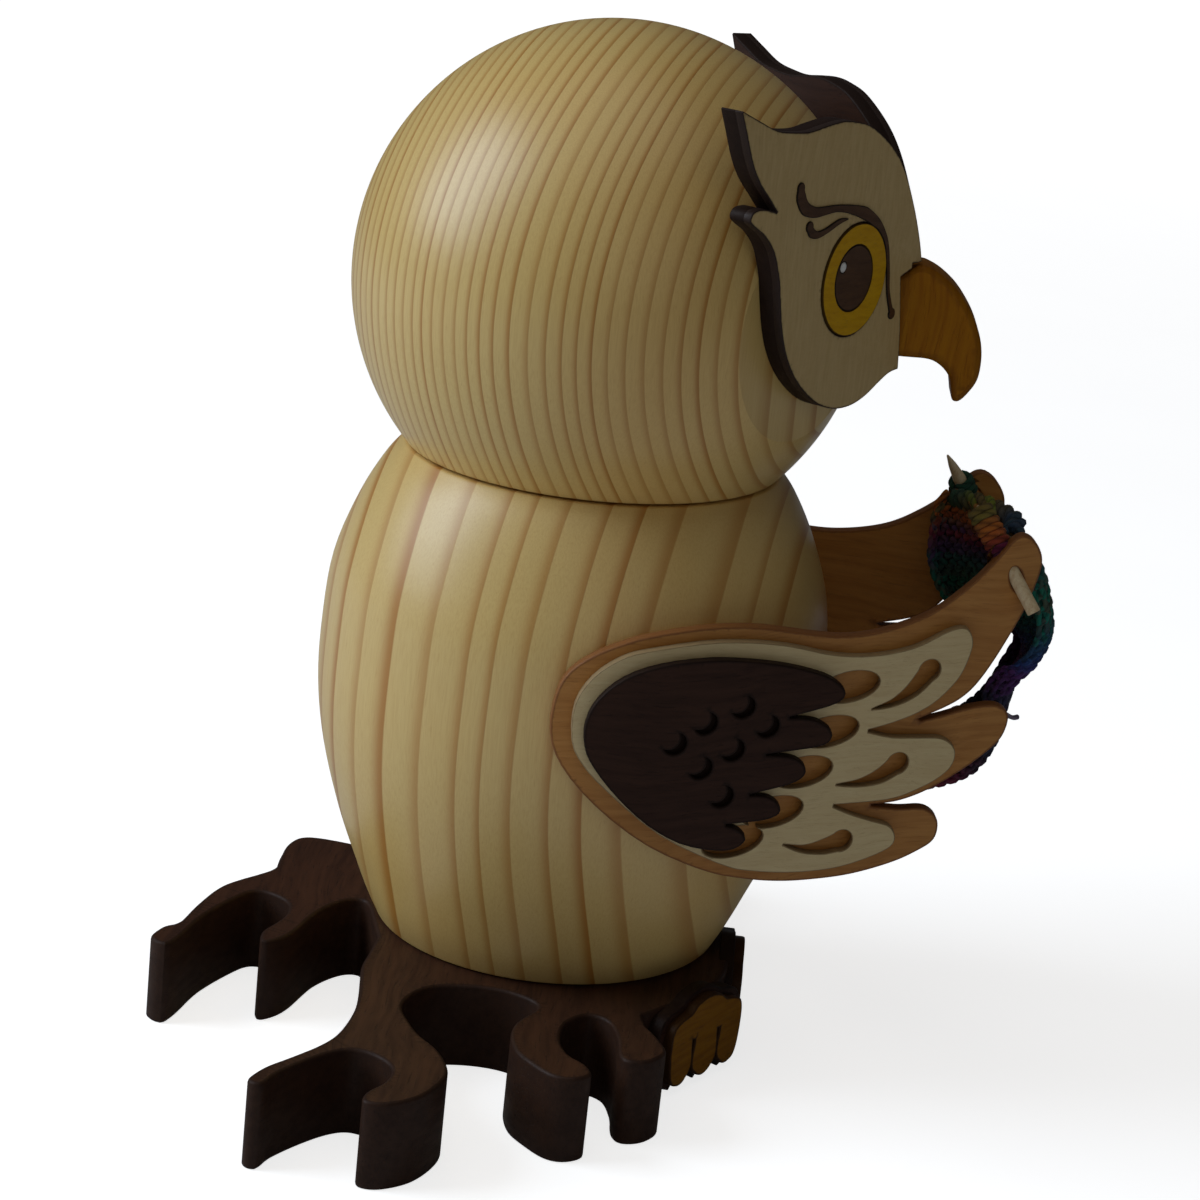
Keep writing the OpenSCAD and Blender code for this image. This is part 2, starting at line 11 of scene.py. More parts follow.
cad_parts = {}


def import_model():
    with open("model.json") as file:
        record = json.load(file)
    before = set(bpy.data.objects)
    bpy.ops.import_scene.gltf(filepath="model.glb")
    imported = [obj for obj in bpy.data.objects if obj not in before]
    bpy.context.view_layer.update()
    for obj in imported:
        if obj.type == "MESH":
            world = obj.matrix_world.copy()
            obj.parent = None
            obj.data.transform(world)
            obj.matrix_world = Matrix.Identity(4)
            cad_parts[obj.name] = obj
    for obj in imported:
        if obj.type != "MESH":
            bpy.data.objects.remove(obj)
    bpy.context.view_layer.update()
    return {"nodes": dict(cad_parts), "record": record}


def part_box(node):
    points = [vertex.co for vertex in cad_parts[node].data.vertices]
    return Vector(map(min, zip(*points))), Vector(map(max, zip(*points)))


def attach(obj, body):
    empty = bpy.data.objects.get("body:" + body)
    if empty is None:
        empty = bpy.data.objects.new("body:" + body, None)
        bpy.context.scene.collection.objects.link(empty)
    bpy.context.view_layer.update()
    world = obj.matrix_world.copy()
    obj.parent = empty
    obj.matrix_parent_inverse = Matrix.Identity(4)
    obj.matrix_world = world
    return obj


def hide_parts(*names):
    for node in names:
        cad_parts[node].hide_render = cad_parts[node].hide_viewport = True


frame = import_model()

# ---- sizes that repeat the CAD model's --------------------------------------
MM = 0.001
UP = Vector((0, 0, 1))
BODY_TURN = Matrix.Rotation(math.radians(6), 4, "Z")
BELLY_R = 37.9 * MM
WING_LEAVE = math.radians(22)
# depth of each wing layer's outer face beyond the belly, and its thickness
WING_LAYERS = {"back": (2.0 * MM, 2.0 * MM), "middle": (3.6 * MM, 1.6 * MM),
               "front": (5.2 * MM, 1.6 * MM)}
MASK_SEAM = 0.05 * MM
BEAK_PLAY = 0.1 * MM
MASK_STEP_Z = 120.7 * MM
CHAMBER_R, CHAMBER_TOP_Z = 20 * MM, 64 * MM
NECK_BORE_R, NECK_BORE_Z = 8.07 * MM, 73 * MM
SMOKE_R, NECK_TOP_Z, SMOKE_TOP_Z = 4.5 * MM, 101 * MM, 112 * MM
MOUTH_R, MOUTH_Z = 2.4 * MM, 102.5 * MM
MASK_SWING, MASK_T, RIDGE_Y = math.radians(34), 3.5 * MM, 45.2 * MM
TIP_HOLE = Vector((-17.6, -60.3, 79.7)) * MM
NEEDLE_DIR = Vector((0.35, 0.52, 0.77)).normalized()
NEEDLE_R, NEEDLE_OUT, NEEDLE_IN, NEEDLE_POINT = 1 * MM, 7.3 * MM, 10.2 * MM, 5 * MM
# how far the slanted needle hole moves in y and z for each millimetre of the wing's depth
HOLE_RUN, HOLE_NEAR = (1.0, 1.48), 2.2 * MM
CRESCENT_DEPTH = 1 * MM
record = frame["record"]
HOME = {node: body for body, nodes in record["behaviour"]["bodies"].items() for node in nodes}
SLOT = {part["node"]: part["material_slot"] for part in record["subparts"]}
LEFT = {"right": -1, "left": 1}


# ---- materials --------------------------------------------------------------

class Look:
    """One node material. Each method adds a node and returns its output."""

    def __init__(self, name, **shader):
        self.mat = bpy.data.materials.new(name)
        self.mat.use_nodes = True
        self.tree = self.mat.node_tree
        self.shader = self.tree.nodes["Principled BSDF"]
        for socket, value in shader.items():
            self.shader.inputs[socket.replace("_", " ")].default_value = value

    def node(self, kind, inputs, **settings):
        made = self.tree.nodes.new(kind)
        for key, value in settings.items():
            setattr(made, key, value)
        for key, value in inputs.items():
            self.feed(made.inputs[key], value)
        return made

    def feed(self, socket, value):
        if isinstance(value, bpy.types.NodeSocket):
            self.tree.links.new(value, socket)
        else:
            socket.default_value = value

    def math(self, operation, a, b=0.0, c=0.0):
        return self.node("ShaderNodeMath", {0: a, 1: b, 2: c}, operation=operation).outputs[0]

    def vector(self, operation, a, b=(0, 0, 0)):
        made = self.node("ShaderNodeVectorMath", {0: a, 1: b}, operation=operation)
        return made.outputs["Value" if operation == "LENGTH" else "Vector"]

    def scaled(self, vector, sizes):
        return self.vector("MULTIPLY", vector, sizes)

    def here(self):
        """The piece's own coordinates, in millimetres."""
        coords = self.node("ShaderNodeTexCoord", {})
        return self.scaled(coords.outputs["Object"], (1000, 1000, 1000))

    def sheet(self):
        """Coordinates along, across and into a cut sheet, in millimetres."""
        return self.node("ShaderNodeAttribute", {}, attribute_name="grain").outputs["Vector"]

    def value(self, attribute):
        return self.node("ShaderNodeAttribute", {}, attribute_name=attribute).outputs["Fac"]

    def noise(self, vector, scale=1.0, detail=2.0, rough=0.5, twist=0.0):
        made = self.node("ShaderNodeTexNoise", {
            "Vector": vector, "Scale": scale, "Detail": detail, "Roughness": rough,
            "Distortion": twist})
        return made.outputs[0]

    def step(self, value, low, high, start=0.0, end=1.0):
        """value eased from start at low to end at high."""
        made = self.node("ShaderNodeMapRange", {
            "Value": value, "From Min": low, "From Max": high, "To Min": start, "To Max": end},
            interpolation_type="SMOOTHSTEP")
        return made.outputs["Result"]

    def mix(self, share, a, b, blend="MIX"):
        made = self.node("ShaderNodeMix", {}, data_type="RGBA", blend_type=blend)
        self.feed(made.inputs[0], share)
        self.feed(made.inputs[6], a if isinstance(a, bpy.types.NodeSocket) else (*a, 1))
        self.feed(made.inputs[7], b if isinstance(b, bpy.types.NodeSocket) else (*b, 1))
        return made.outputs[2]

    def finish(self, colour, rough, height, depth):
        """Feeds the shader: height is a field from 0 to 1, and depth its relief in metres."""
        self.feed(self.shader.inputs["Base Color"], colour)
        self.feed(self.shader.inputs["Roughness"], rough)
        bump = self.node("ShaderNodeBump", {"Height": height, "Strength": 1.0, "Distance": depth})
        self.feed(self.shader.inputs["Normal"], bump.outputs["Normal"])
        return self.mat


def pine(name, pith, ring, pale, late, warm, sharpness):
    """Lacquered softwood: growth rings round a pith line, dark late wood and fine fibres."""
    look = Look(name, Coat_Weight=0.45, Coat_Roughness=0.36, Specular_IOR_Level=0.5)
    here = look.here()
    drift = look.node("ShaderNodeTexNoise", {"Vector": look.scaled(here, (0.014, 0.014, 0.009)),
                                             "Scale": 1.0, "Detail": 1.5, "Roughness": 0.4})
    pushed = look.vector("MULTIPLY_ADD", drift.outputs["Color"], (6, 6, 0))
    pushed.node.inputs[2].default_value = (-pith[0] - 3, -pith[1] - 3, 0)
    around = look.scaled(look.vector("ADD", here, pushed), (1, 1, 0))
    lean = look.node("ShaderNodeSeparateXYZ", {0: here})
    leaned = look.node("ShaderNodeCombineXYZ", {
        0: look.math("MULTIPLY", lean.outputs[2], pith[2]),
        1: look.math("MULTIPLY", lean.outputs[2], pith[3]), 2: 0.0})
    radius = look.vector("LENGTH", look.vector("ADD", around, leaned.outputs[0]))
    width = look.node("ShaderNodeTexNoise", {"W": radius, "Scale": 0.05, "Detail": 1.0},
                      noise_dimensions="1D").outputs[0]
    turn = look.math("ADD", look.math("DIVIDE", radius, ring), look.math("MULTIPLY", width, 2.2))
    part = look.math("FRACT", turn)
    each = look.node("ShaderNodeTexWhiteNoise", {"W": look.math("FLOOR", turn)},
                     noise_dimensions="1D").outputs["Value"]
    rise = look.math("POWER", look.step(part, 0.2, 0.95), sharpness)
    band = look.math("MULTIPLY", rise, look.step(part, 0.965, 1.0, 1.0, 0.0))
    strong = look.math("MULTIPLY", band, look.step(each, 0.0, 1.0, 0.6, 1.0))
    tint = look.noise(look.scaled(here, (0.03, 0.03, 0.012)), 1.0, 3.0)
    fibre = look.noise(look.scaled(here, (5.0, 5.0, 0.16)), 1.0, 3.0, 0.6)
    fleck = look.noise(look.scaled(here, (3.2, 3.2, 0.42)), 1.0, 1.0)
    fleck = look.step(fleck, 0.66, 0.76)
    ground = look.mix(look.step(tint, 0.35, 0.7), pale, warm)
    ground = look.mix(look.step(fibre, 0.3, 0.8, 0.0, 0.22), ground, late)
    ground = look.mix(look.math("MULTIPLY", fleck, 0.16), ground, late)
    colour = look.mix(strong, ground, late)
    rough = look.step(look.math("ADD", fibre, look.math("MULTIPLY", strong, 0.3)),
                      0.2, 1.1, 0.33, 0.47)
    relief = look.math("ADD", look.math("MULTIPLY", fibre, 0.4), look.math("MULTIPLY", strong, 0.6))
    return look.finish(colour, rough, relief, 0.00004)


def sheet_wood(name, pale, dark, edge, along=(0.05, 1.4), streak=0.5, fleck=0.2, burn=1.0,
               rough=(0.42, 0.6), coat=0.1, across=False, face=0.0, shine=0.45):
    """Thin cut wood: streaks along the grain, pores, and a scorched or darker rim."""
    look = Look(name, Coat_Weight=coat, Coat_Roughness=0.35, Specular_IOR_Level=shine)
    at = look.sheet()
    long, short = along
    sizes = (short, long, short) if across else (long, short, short)
    wave = look.noise(look.scaled(at, (0.05, 0.05, 0.05)), 1.0, 2.0)
    bent = look.vector("ADD", at, look.scaled(
        look.node("ShaderNodeTexNoise", {"Vector": look.scaled(at, (0.06, 0.06, 0.06)),
                                         "Scale": 1.0, "Detail": 1.0}).outputs["Color"],
        (4, 4, 4)))
    streaks = look.noise(look.scaled(bent, sizes), 1.0, 4.0, 0.6)
    fine_sizes = tuple(s * 4 for s in sizes)
    pores = look.noise(look.scaled(bent, fine_sizes), 1.0, 2.0, 0.7)
    pore = look.step(pores, 0.58, 0.7)
    thread = look.noise(look.scaled(at, (2.6, 0.5, 2.6) if not across else (0.5, 2.6, 2.6)),
                        1.0, 1.0)
    colour = look.mix(look.step(streaks, 0.5 - streak * 0.4, 0.5 + streak * 0.4), pale, dark)
    colour = look.mix(look.step(wave, 0.3, 0.8, 0.0, 0.35), colour, dark)
    colour = look.mix(look.math("MULTIPLY", pore, fleck), colour, edge)
    colour = look.mix(look.step(thread, 0.45, 0.75, 0.0, face), colour, pale)
    scorch = look.math("ADD", look.value("burn"),
                       look.step(look.noise(at, 1.1, 2.0), 0.2, 0.8, -0.14, 0.1))
    scorched = look.step(scorch, 0.18, 0.8, 0.0, burn)
    colour = look.mix(scorched, colour, edge)
    level = look.step(look.math("ADD", streaks, look.math("MULTIPLY", scorched, 0.4)),
                      0.2, 1.2, *rough)
    relief = look.math("SUBTRACT", look.math("MULTIPLY", streaks, 0.5),
                       look.math("MULTIPLY", pore, 0.5))
    return look.finish(colour, level, relief, 0.00005)


def paint(name, colour, worn, rough):
    """A brushed coat of paint or stain that thins towards the edges."""
    look = Look(name, Coat_Weight=0.2, Coat_Roughness=0.3)
    at = look.sheet()
    brush = look.noise(look.scaled(at, (0.4, 2.4, 2.4)), 1.0, 3.0)
    mixed = look.mix(look.step(brush, 0.35, 0.8, 0.0, 0.45), colour, worn)
    mixed = look.mix(look.step(look.value("burn"), 0.5, 1.0, 0.0, 0.8), mixed, worn)
    return look.finish(mixed, look.step(brush, 0.2, 0.9, rough, rough + 0.12), brush, 0.00003)


def brass(name):
    """Thin pressed metal, dulled by smoke in the well."""
    look = Look(name, Metallic=1.0)
    here = look.here()
    rings = look.noise(look.scaled(here, (1.2, 1.2, 6)), 1.0, 3.0)
    soot = look.step(look.vector("LENGTH", look.scaled(here, (1, 1, 0))), 2.0, 11.0, 0.75, 0.0)
    soot = look.math("MULTIPLY", soot, look.step(look.noise(here, 0.35, 3.0), 0.3, 0.6))
    colour = look.mix(look.step(rings, 0.3, 0.8), (0.74, 0.53, 0.22), (0.55, 0.36, 0.13))
    colour = look.mix(soot, colour, (0.05, 0.04, 0.035))
    return look.finish(colour, look.step(rings, 0.2, 0.8, 0.24, 0.42), rings, 0.00003)


def birch(name):
    """Pale straight-grained stick wood, in the piece's own coordinates."""
    look = Look(name, Coat_Weight=0.05)
    here = look.here()
    grain = look.noise(look.scaled(here, (2.6, 1.4, 0.9)), 1.0, 4.0, 0.65)
    spot = look.noise(look.scaled(here, (6, 4, 2.2)), 1.0, 1.0)
    colour = look.mix(look.step(grain, 0.3, 0.75), (0.80, 0.66, 0.42), (0.62, 0.43, 0.22))
    colour = look.mix(look.step(spot, 0.62, 0.75, 0.0, 0.35), colour, (0.42, 0.26, 0.12))
    return look.finish(colour, look.step(grain, 0.2, 0.9, 0.45, 0.62), grain, 0.00005)


def yarn(name):
    """Two-ply wool: dyed along its length, with the plies twisting round each other."""
    look = Look(name, Sheen_Weight=0.08, Sheen_Roughness=0.5, Specular_IOR_Level=0.1)
    # colour attribute: the yarn's dye, and on the backing cloth a darkened copy of it that is
    # painted shade
    dye_and_cloth_shade = look.node("ShaderNodeAttribute", {}, attribute_name="dye_and_cloth_shade").outputs["Color"]
    twist = look.node("ShaderNodeAttribute", {}, attribute_name="twist").outputs["Vector"]
    ply = look.node("ShaderNodeSeparateXYZ", {0: twist})
    ridge = look.math("ABSOLUTE", ply.outputs[0])
    here = look.here()
    fibre = look.noise(look.scaled(here, (7, 7, 7)), 1.0, 3.0, 0.7, 0.6)
    lump = look.noise(look.scaled(here, (0.8, 0.8, 0.8)), 1.0, 2.0)
    # painted shade: where the plies' ridge is low, in the grooves between them, the colour is mixed
    # towards near black; low fibre noise adds real random darkening, and the same field gives the
    # bump
    shade = look.math("ADD", look.math("MULTIPLY", ridge, 0.55), look.math("MULTIPLY", fibre, 0.6))
    colour = look.mix(look.step(shade, 0.15, 0.85, 0.62, 0.0), dye_and_cloth_shade, (0.004, 0.004, 0.006))
    light = look.mix(0.3, dye_and_cloth_shade, (0.40, 0.36, 0.30))
    colour = look.mix(look.step(fibre, 0.55, 0.8, 0.0, 0.28), colour, light)
    colour = look.mix(look.step(lump, 0.55, 0.8, 0.0, 0.2), colour, light)
    return look.finish(colour, look.step(fibre, 0.2, 0.8, 0.8, 0.98), shade, 0.00028)


SCORCH = (0.022, 0.009, 0.005)
MATERIALS = {
    "head": pine("pine_head", (4, 62, 0.0, 0.0), 2.0, (0.78, 0.565, 0.205), (0.49, 0.22, 0.035),
                 (0.78, 0.52, 0.17), 3.2),
    "body": pine("pine_body", (6, 118, 0.0, 0.0), 5.3, (0.80, 0.575, 0.215), (0.51, 0.22, 0.035),
                 (0.80, 0.54, 0.18), 4.2),
    "inner": pine("pine_inner", (30, 20, 0.1, 0.0), 4.0, (0.79, 0.57, 0.26), (0.52, 0.25, 0.07),
                  (0.74, 0.50, 0.20), 3.0),
    "walnut": sheet_wood("walnut", (0.052, 0.022, 0.013), (0.032, 0.013, 0.008),
                         (0.012, 0.006, 0.004), (0.07, 0.9), 0.6, 0.35, 0.75, (0.5, 0.65), 0.02,
                         shine=0.14),
    "base": sheet_wood("walnut_base", (0.078, 0.032, 0.016), (0.034, 0.013, 0.007),
                       (0.020, 0.009, 0.005), (0.04, 0.7), 0.75, 0.5, 0.6, (0.45, 0.65), 0.03,
                       shine=0.18),
    "maple": sheet_wood("maple", (0.76, 0.62, 0.34), (0.67, 0.51, 0.26), (0.20, 0.115, 0.045),
                        (0.10, 1.6), 0.8, 0.05, 0.75, (0.5, 0.62), 0.04),
    "mask": sheet_wood("maple_mask", (0.64, 0.475, 0.215), (0.55, 0.385, 0.16), SCORCH,
                       (0.12, 1.8), 0.7, 0.06, 1.0, (0.5, 0.62), 0.03, True, 0.25, 0.3),
    "cherry": sheet_wood("cherry", (0.57, 0.27, 0.070), (0.44, 0.185, 0.042),
                         (0.20, 0.070, 0.020), (0.05, 1.1), 0.6, 0.18, 0.8, (0.45, 0.58), 0.05,
                         shine=0.3),
    "beak": sheet_wood("stained_beak", (0.44, 0.175, 0.002), (0.33, 0.112, 0.001),
                       (0.14, 0.045, 0.001), (1.0, 0.06), 0.6, 0.25, 0.4, (0.42, 0.55), 0.04,
                       shine=0.12),
    "foot": sheet_wood("stained_foot", (0.30, 0.125, 0.001), (0.22, 0.085, 0.001), SCORCH,
                       (0.12, 1.1), 0.6, 0.25, 0.9, (0.45, 0.6), 0.03, shine=0.12),
    "yellow": sheet_wood("yellow_eye", (0.70, 0.395, 0.001), (0.59, 0.305, 0.001), SCORCH,
                         (0.2, 1.3), 0.6, 0.12, 0.9, (0.42, 0.55), 0.03, shine=0.12),
    "inlay": sheet_wood("dark_inlay", (0.100, 0.044, 0.015), (0.064, 0.027, 0.010),
                        (0.016, 0.008, 0.004), (0.2, 1.3), 0.6, 0.2, 1.0, (0.45, 0.58), 0.03,
                        shine=0.2),
    "white": paint("white_dot", (0.86, 0.86, 0.84), (0.60, 0.58, 0.54), 0.3),
    "brass": brass("dish_brass"),
    "birch": birch("birch_stick"),
    "yarn": yarn("wool"),
}


# ---- pieces -----------------------------------------------------------------

def settle(piece, look, node=None, body=None, slot=None):
    """Gives a piece its material and the body that it rides on, and hides the CAD node that it
    stands for.
    """
    piece.data.materials.clear()
    piece.data.materials.append(MATERIALS[look])
    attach(piece, body or HOME[node])
    slot or SLOT[node]
    if node:
        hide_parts(node)
    return piece


def placed_object(name, data):
    made = bpy.data.objects.new(name, data)
    bpy.context.scene.collection.objects.link(made)
    return made


def mesh_piece(name, points, faces):
    mesh = bpy.data.meshes.new(name)
    mesh.from_pydata([tuple(p) for p in points], [], [tuple(f) for f in faces])
    bm = bmesh.new()
    bm.from_mesh(mesh)
    bmesh.ops.recalc_face_normals(bm, faces=bm.faces)
    for face in bm.faces:
        face.smooth = True
    bm.to_mesh(mesh)
    bm.free()
    return placed_object(name, mesh)


def set_values(piece, attribute, kind, values):
    made = piece.data.attributes.new(attribute, kind, "POINT")
    field = {"FLOAT": "value", "FLOAT_VECTOR": "vector", "FLOAT_COLOR": "color"}[kind]
    made.data.foreach_set(field, np.asarray(values, np.float32).ravel())


# ---- cut sheets -------------------------------------------------------------

CORNER = math.radians(48)
EASE_STEPS = 3
RIM_BANDS = (0.2 * MM, 0.55 * MM)
BURN_REACH = 0.2 * MM
FACE_BURN, EDGE_BURN, RIM_BURN = 0.72, 1.0, 0.7
LEAST_LOOP = (0.2 * MM) ** 2


def welded(node):
    bm = bmesh.new()
    bm.from_mesh(frame["nodes"][node].data)
    bmesh.ops.remove_doubles(bm, verts=bm.verts, dist=2e-6)
    bm.verts.ensure_lookup_table()
    return bm


def area_of(loop):
    return sum(a.x * b.y - b.x * a.y for a, b in zip(loop, loop[1:] + loop[:1])) / 2


def face_loops(bm, facing, least, flatten, keep=None):
    """The closed loops round the faces that look along facing: the outline, then its holes."""
    chosen = {face.index for face in bm.faces if face.normal.dot(facing) > least
              and (keep is None or keep(face.calc_center_median()))}
    following = {}
    for face in bm.faces:
        if face.index not in chosen:
            continue
        for loop in face.loops:
            others = [f.index for f in loop.edge.link_faces if f.index != face.index]
            if not any(other in chosen for other in others):
                following.setdefault(loop.vert.index, []).append(loop.link_loop_next.vert.index)
    loops = []
    while following:
        at = next(iter(following))
        loop = []
        while at in following:
            loop.append(flatten(bm.verts[at].co))
            onward = following[at].pop()
            if not following[at]:
                del following[at]
            at = onward
        loops.append(loop)
    loops = [loop for loop in loops if abs(area_of(loop)) > LEAST_LOOP]
    loops.sort(key=lambda loop: -abs(area_of(loop)))
    return [loop if (area_of(loop) > 0) == (i == 0) else loop[::-1]
            for i, loop in enumerate(loops)]


def refined(loop, step):
    """The loop with a point about every step, smooth through its points except at its corners."""
    points = [p for i, p in enumerate(loop) if (p - loop[i - 1]).length > 0.03 * MM]
    count = len(points)
    runs = [points[(i + 1) % count] - points[i] for i in range(count)]
    ways = [run.normalized() for run in runs]

    def heading(i, own):
        before, after = ways[i - 1], ways[i % count]
        if before.angle(after) > CORNER:
            return own
        return (before * runs[i % count].length + after * runs[i - 1].length).normalized()

    made = []
    for i, run in enumerate(runs):
        size = run.length
        start, end = heading(i, ways[i]), heading(i + 1, ways[i])
        pieces = max(1, round(size / step))
        for k in range(pieces):
            t = k / pieces
            made.append(points[i] * (2 * t ** 3 - 3 * t ** 2 + 1)
                        + start * (size * (t ** 3 - 2 * t ** 2 + t))
                        + points[(i + 1) % count] * (3 * t ** 2 - 2 * t ** 3)
                        + end * (size * (t ** 3 - t ** 2)))
    return made


def turn_at(loop, i):
    return (loop[i] - loop[i - 1]).angle(loop[(i + 1) % len(loop)] - loop[i], 0.0)


def inset(loop, distance):
    """The loop moved sideways into the sheet, which lies on its left."""
    moved = []
    for i, point in enumerate(loop):
        a = (point - loop[i - 1]).normalized()
        b = (loop[(i + 1) % len(loop)] - point).normalized()
        side = Vector((-a.y - b.y, a.x + b.x))
        side = side.normalized() if side.length > 1e-3 else Vector((-a.y, a.x))
        moved.append(point + side * distance / max(side.dot(Vector((-a.y, a.x))), 0.4))
    return moved


def inside(points, loops):
    """Which points lie inside the outline and outside its holes."""
    points = np.asarray(points, float).reshape(-1, 2)
    odd = np.zeros(len(points), bool)
    for loop in loops:
        a = np.array([tuple(p) for p in loop])
        b = np.roll(a, -1, axis=0)
        for (ax, ay), (bx, by) in zip(a, b):
            if ay == by:
                continue
            crosses = (points[:, 1] >= min(ay, by)) & (points[:, 1] < max(ay, by))
            odd ^= crosses & (points[:, 0] < ax + (points[:, 1] - ay) * (bx - ax) / (by - ay))
    return odd


def plate(name, loops, place, thick, ease, back_ease=None, step=0.5 * MM, cell=1.2 * MM,
          blind=None, reaches=BURN_REACH):
    """A sheet cut to the loops, with eased rims. place(u, v, depth) puts a point in the frame.

    Holes go right through, or down to the depth blind. The cut's burn reaches in from the rim.
    """
    back_ease = ease if back_ease is None else back_ease
    loops = [refined(loop, step) for loop in loops]
    tree = kdtree.KDTree(sum(len(loop) for loop in loops))
    for i, p in enumerate(p for loop in loops for p in loop):
        tree.insert((*p, 0), i)
    tree.balance()

    def reach(p):
        return tree.find((*p, 0))[2]

    free = [q for i, width in enumerate(RIM_BANDS) for loop in loops
            for q in inset(loop, width)[::i + 1] if reach(q) > 0.9 * width]
    us, vs = [p.x for p in loops[0]], [p.y for p in loops[0]]
    columns = np.arange(min(us), max(us), cell)
    lines = np.arange(min(vs), max(vs), cell)
    grid = [Vector((u + (i % 2) * cell / 2, v)) for i, v in enumerate(lines) for u in columns]
    free += [q for q in grid if reach(q) > RIM_BANDS[-1] + 0.35 * MM]
    free = [q for q, kept in zip(free, inside([tuple(q) for q in free], loops)) if kept]

    points, burns = [], []

    def add(p, depth, burn):
        points.append((p.x, p.y, depth))
        burns.append(burn)
        return len(points) - 1

    angles = [math.pi / 2 * k / EASE_STEPS for k in range(EASE_STEPS + 1)]
    arc = [(1 - math.sin(a), 1 - math.cos(a)) for a in angles]
    front_rows = [(ease * i, ease * d) for i, d in arc]
    back_rows = [(back_ease * i, thick - back_ease * d) for i, d in reversed(arc)]
    faces, creases = [], set()
    first, last = [], []
    for number, loop in enumerate(loops):
        sunk = blind and number
        rows = front_rows + ([(0, blind)] if sunk else back_rows)
        rings = [[add(p, depth, FACE_BURN if depth in (0.0, thick) else EDGE_BURN)
                  for p in inset(loop, drawn)] for drawn, depth in rows]
        for top, low in zip(rings, rings[1:]):
            for i in range(len(top)):
                faces.append((top[i - 1], top[i], low[i], low[i - 1]))
                if turn_at(loop, i) > CORNER:
                    creases.add(frozenset((top[i], low[i])))
        first.append(rings[0])
        if sunk:
            faces.append(tuple(rings[-1]))
            creases.update(frozenset((rings[-1][i - 1], rings[-1][i])) for i in range(len(loop)))
        else:
            last.append(rings[-1])
    for ring, depth in ((first, 0.0), (last, thick)):
        ids = [i for loop in ring for i in loop]
        flat = [Vector(points[i][:2]) for i in ids]
        edges = []
        for loop in ring:
            start = len(edges)
            edges += [(start + i, start + (i + 1) % len(loop)) for i in range(len(loop))]
            creases.update(frozenset((loop[i - 1], loop[i])) for i in range(len(loop)))
        corners, _, triangles, sources, _, _ = geometry.delaunay_2d_cdt(
            flat + free, edges, [], 0, 1e-7)
        middles = [tuple(sum((corners[c] for c in t), Vector((0, 0))) / 3) for t in triangles]
        kept = inside(middles, [[flat[a] for a, _ in edges[s:s + n]] for s, n in spans(ring)])
        numbers = {}
        for triangle, keep in zip(triangles, kept):
            if not keep:
                continue
            face = []
            for c in triangle:
                if c not in numbers:
                    known = [s for s in sources[c] if s < len(ids)]
                    p = corners[c]
                    numbers[c] = ids[known[0]] if known else add(
                        p, depth, max(0.0, 1 - reach(p) / reaches) * RIM_BURN)
                face.append(numbers[c])
            if len(set(face)) == 3:
                faces.append(face)
    placed = [place(u, v, d) for u, v, d in points]
    piece = mesh_piece(name, placed, faces)
    for edge in piece.data.edges:
        if frozenset(edge.vertices) in creases:
            edge.use_edge_sharp = True
    offset = 37.0 * (sum(map(ord, name)) % 53)
    set_values(piece, "grain", "FLOAT_VECTOR",
               [(u / MM + offset, v / MM - offset, d / MM) for u, v, d in points])
    set_values(piece, "burn", "FLOAT", burns)
    return piece


def spans(ring):
    """(start, length) of each loop in a ring's run of points."""
    start = 0
    for loop in ring:
        yield start, len(loop)
        start += len(loop)


def flat_plate(node, look, towards, ease, trim=None, **options):
    """Replaces a flat CAD sheet, whose front looks roughly along towards."""
    bm = welded(node)
    sizes = {}
    for face in bm.faces:
        if face.normal.dot(towards) > 0.3:
            key = tuple(round(x, 3) for x in face.normal)
            sizes[key] = sizes.get(key, 0) + face.calc_area()
    front = Vector(max(sizes, key=sizes.get)).normalized()
    upward = UP if abs(front.z) < 0.5 else Vector((0, 1, 0))
    across = upward.cross(front)
    depths = [v.co.dot(front) for v in bm.verts]
    origin = front * max(depths)
    loops = face_loops(bm, front, 0.98, lambda p: Vector((p.dot(across), p.dot(upward))))
    bm.free()

    def place(u, v, depth):
        start = origin + across * u + upward * v
        moved = start - front * depth
        return trim(start, moved, across) if trim else moved

    piece = plate(node + "_cut", loops, place, max(depths) - min(depths), ease, **options)
    return settle(piece, look, node)


def mask_trim(side):
    """Keeps a mask sheet clear of the beak and of the other half as it goes deeper."""
    beak_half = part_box("beak")[1].x + BEAK_PLAY

    def trim(start, moved, across):
        by_beak = start.z < MASK_STEP_Z - 0.01 * MM or (
            abs(start.z - MASK_STEP_Z) < 0.02 * MM and abs(start.x) > beak_half - 0.02 * MM)
        limit = beak_half if by_beak else MASK_SEAM
        if moved.x * side < limit:
            moved = moved + across * ((side * limit - moved.x) / across.x)
        return moved

    return trim


def wing_radius(x, y):
    """How far out a point of the right wing lies, measured square to the wing's surface."""
    if y > -x * math.tan(WING_LEAVE):
        return math.hypot(x, y)
    return x * math.cos(WING_LEAVE) - y * math.sin(WING_LEAVE)


# a wing layer's material and how far its rims are eased
WING_LOOKS = {"back": ("cherry", 0.22 * MM), "middle": ("maple", 0.14 * MM),
              "front": ("walnut", 0.2 * MM)}


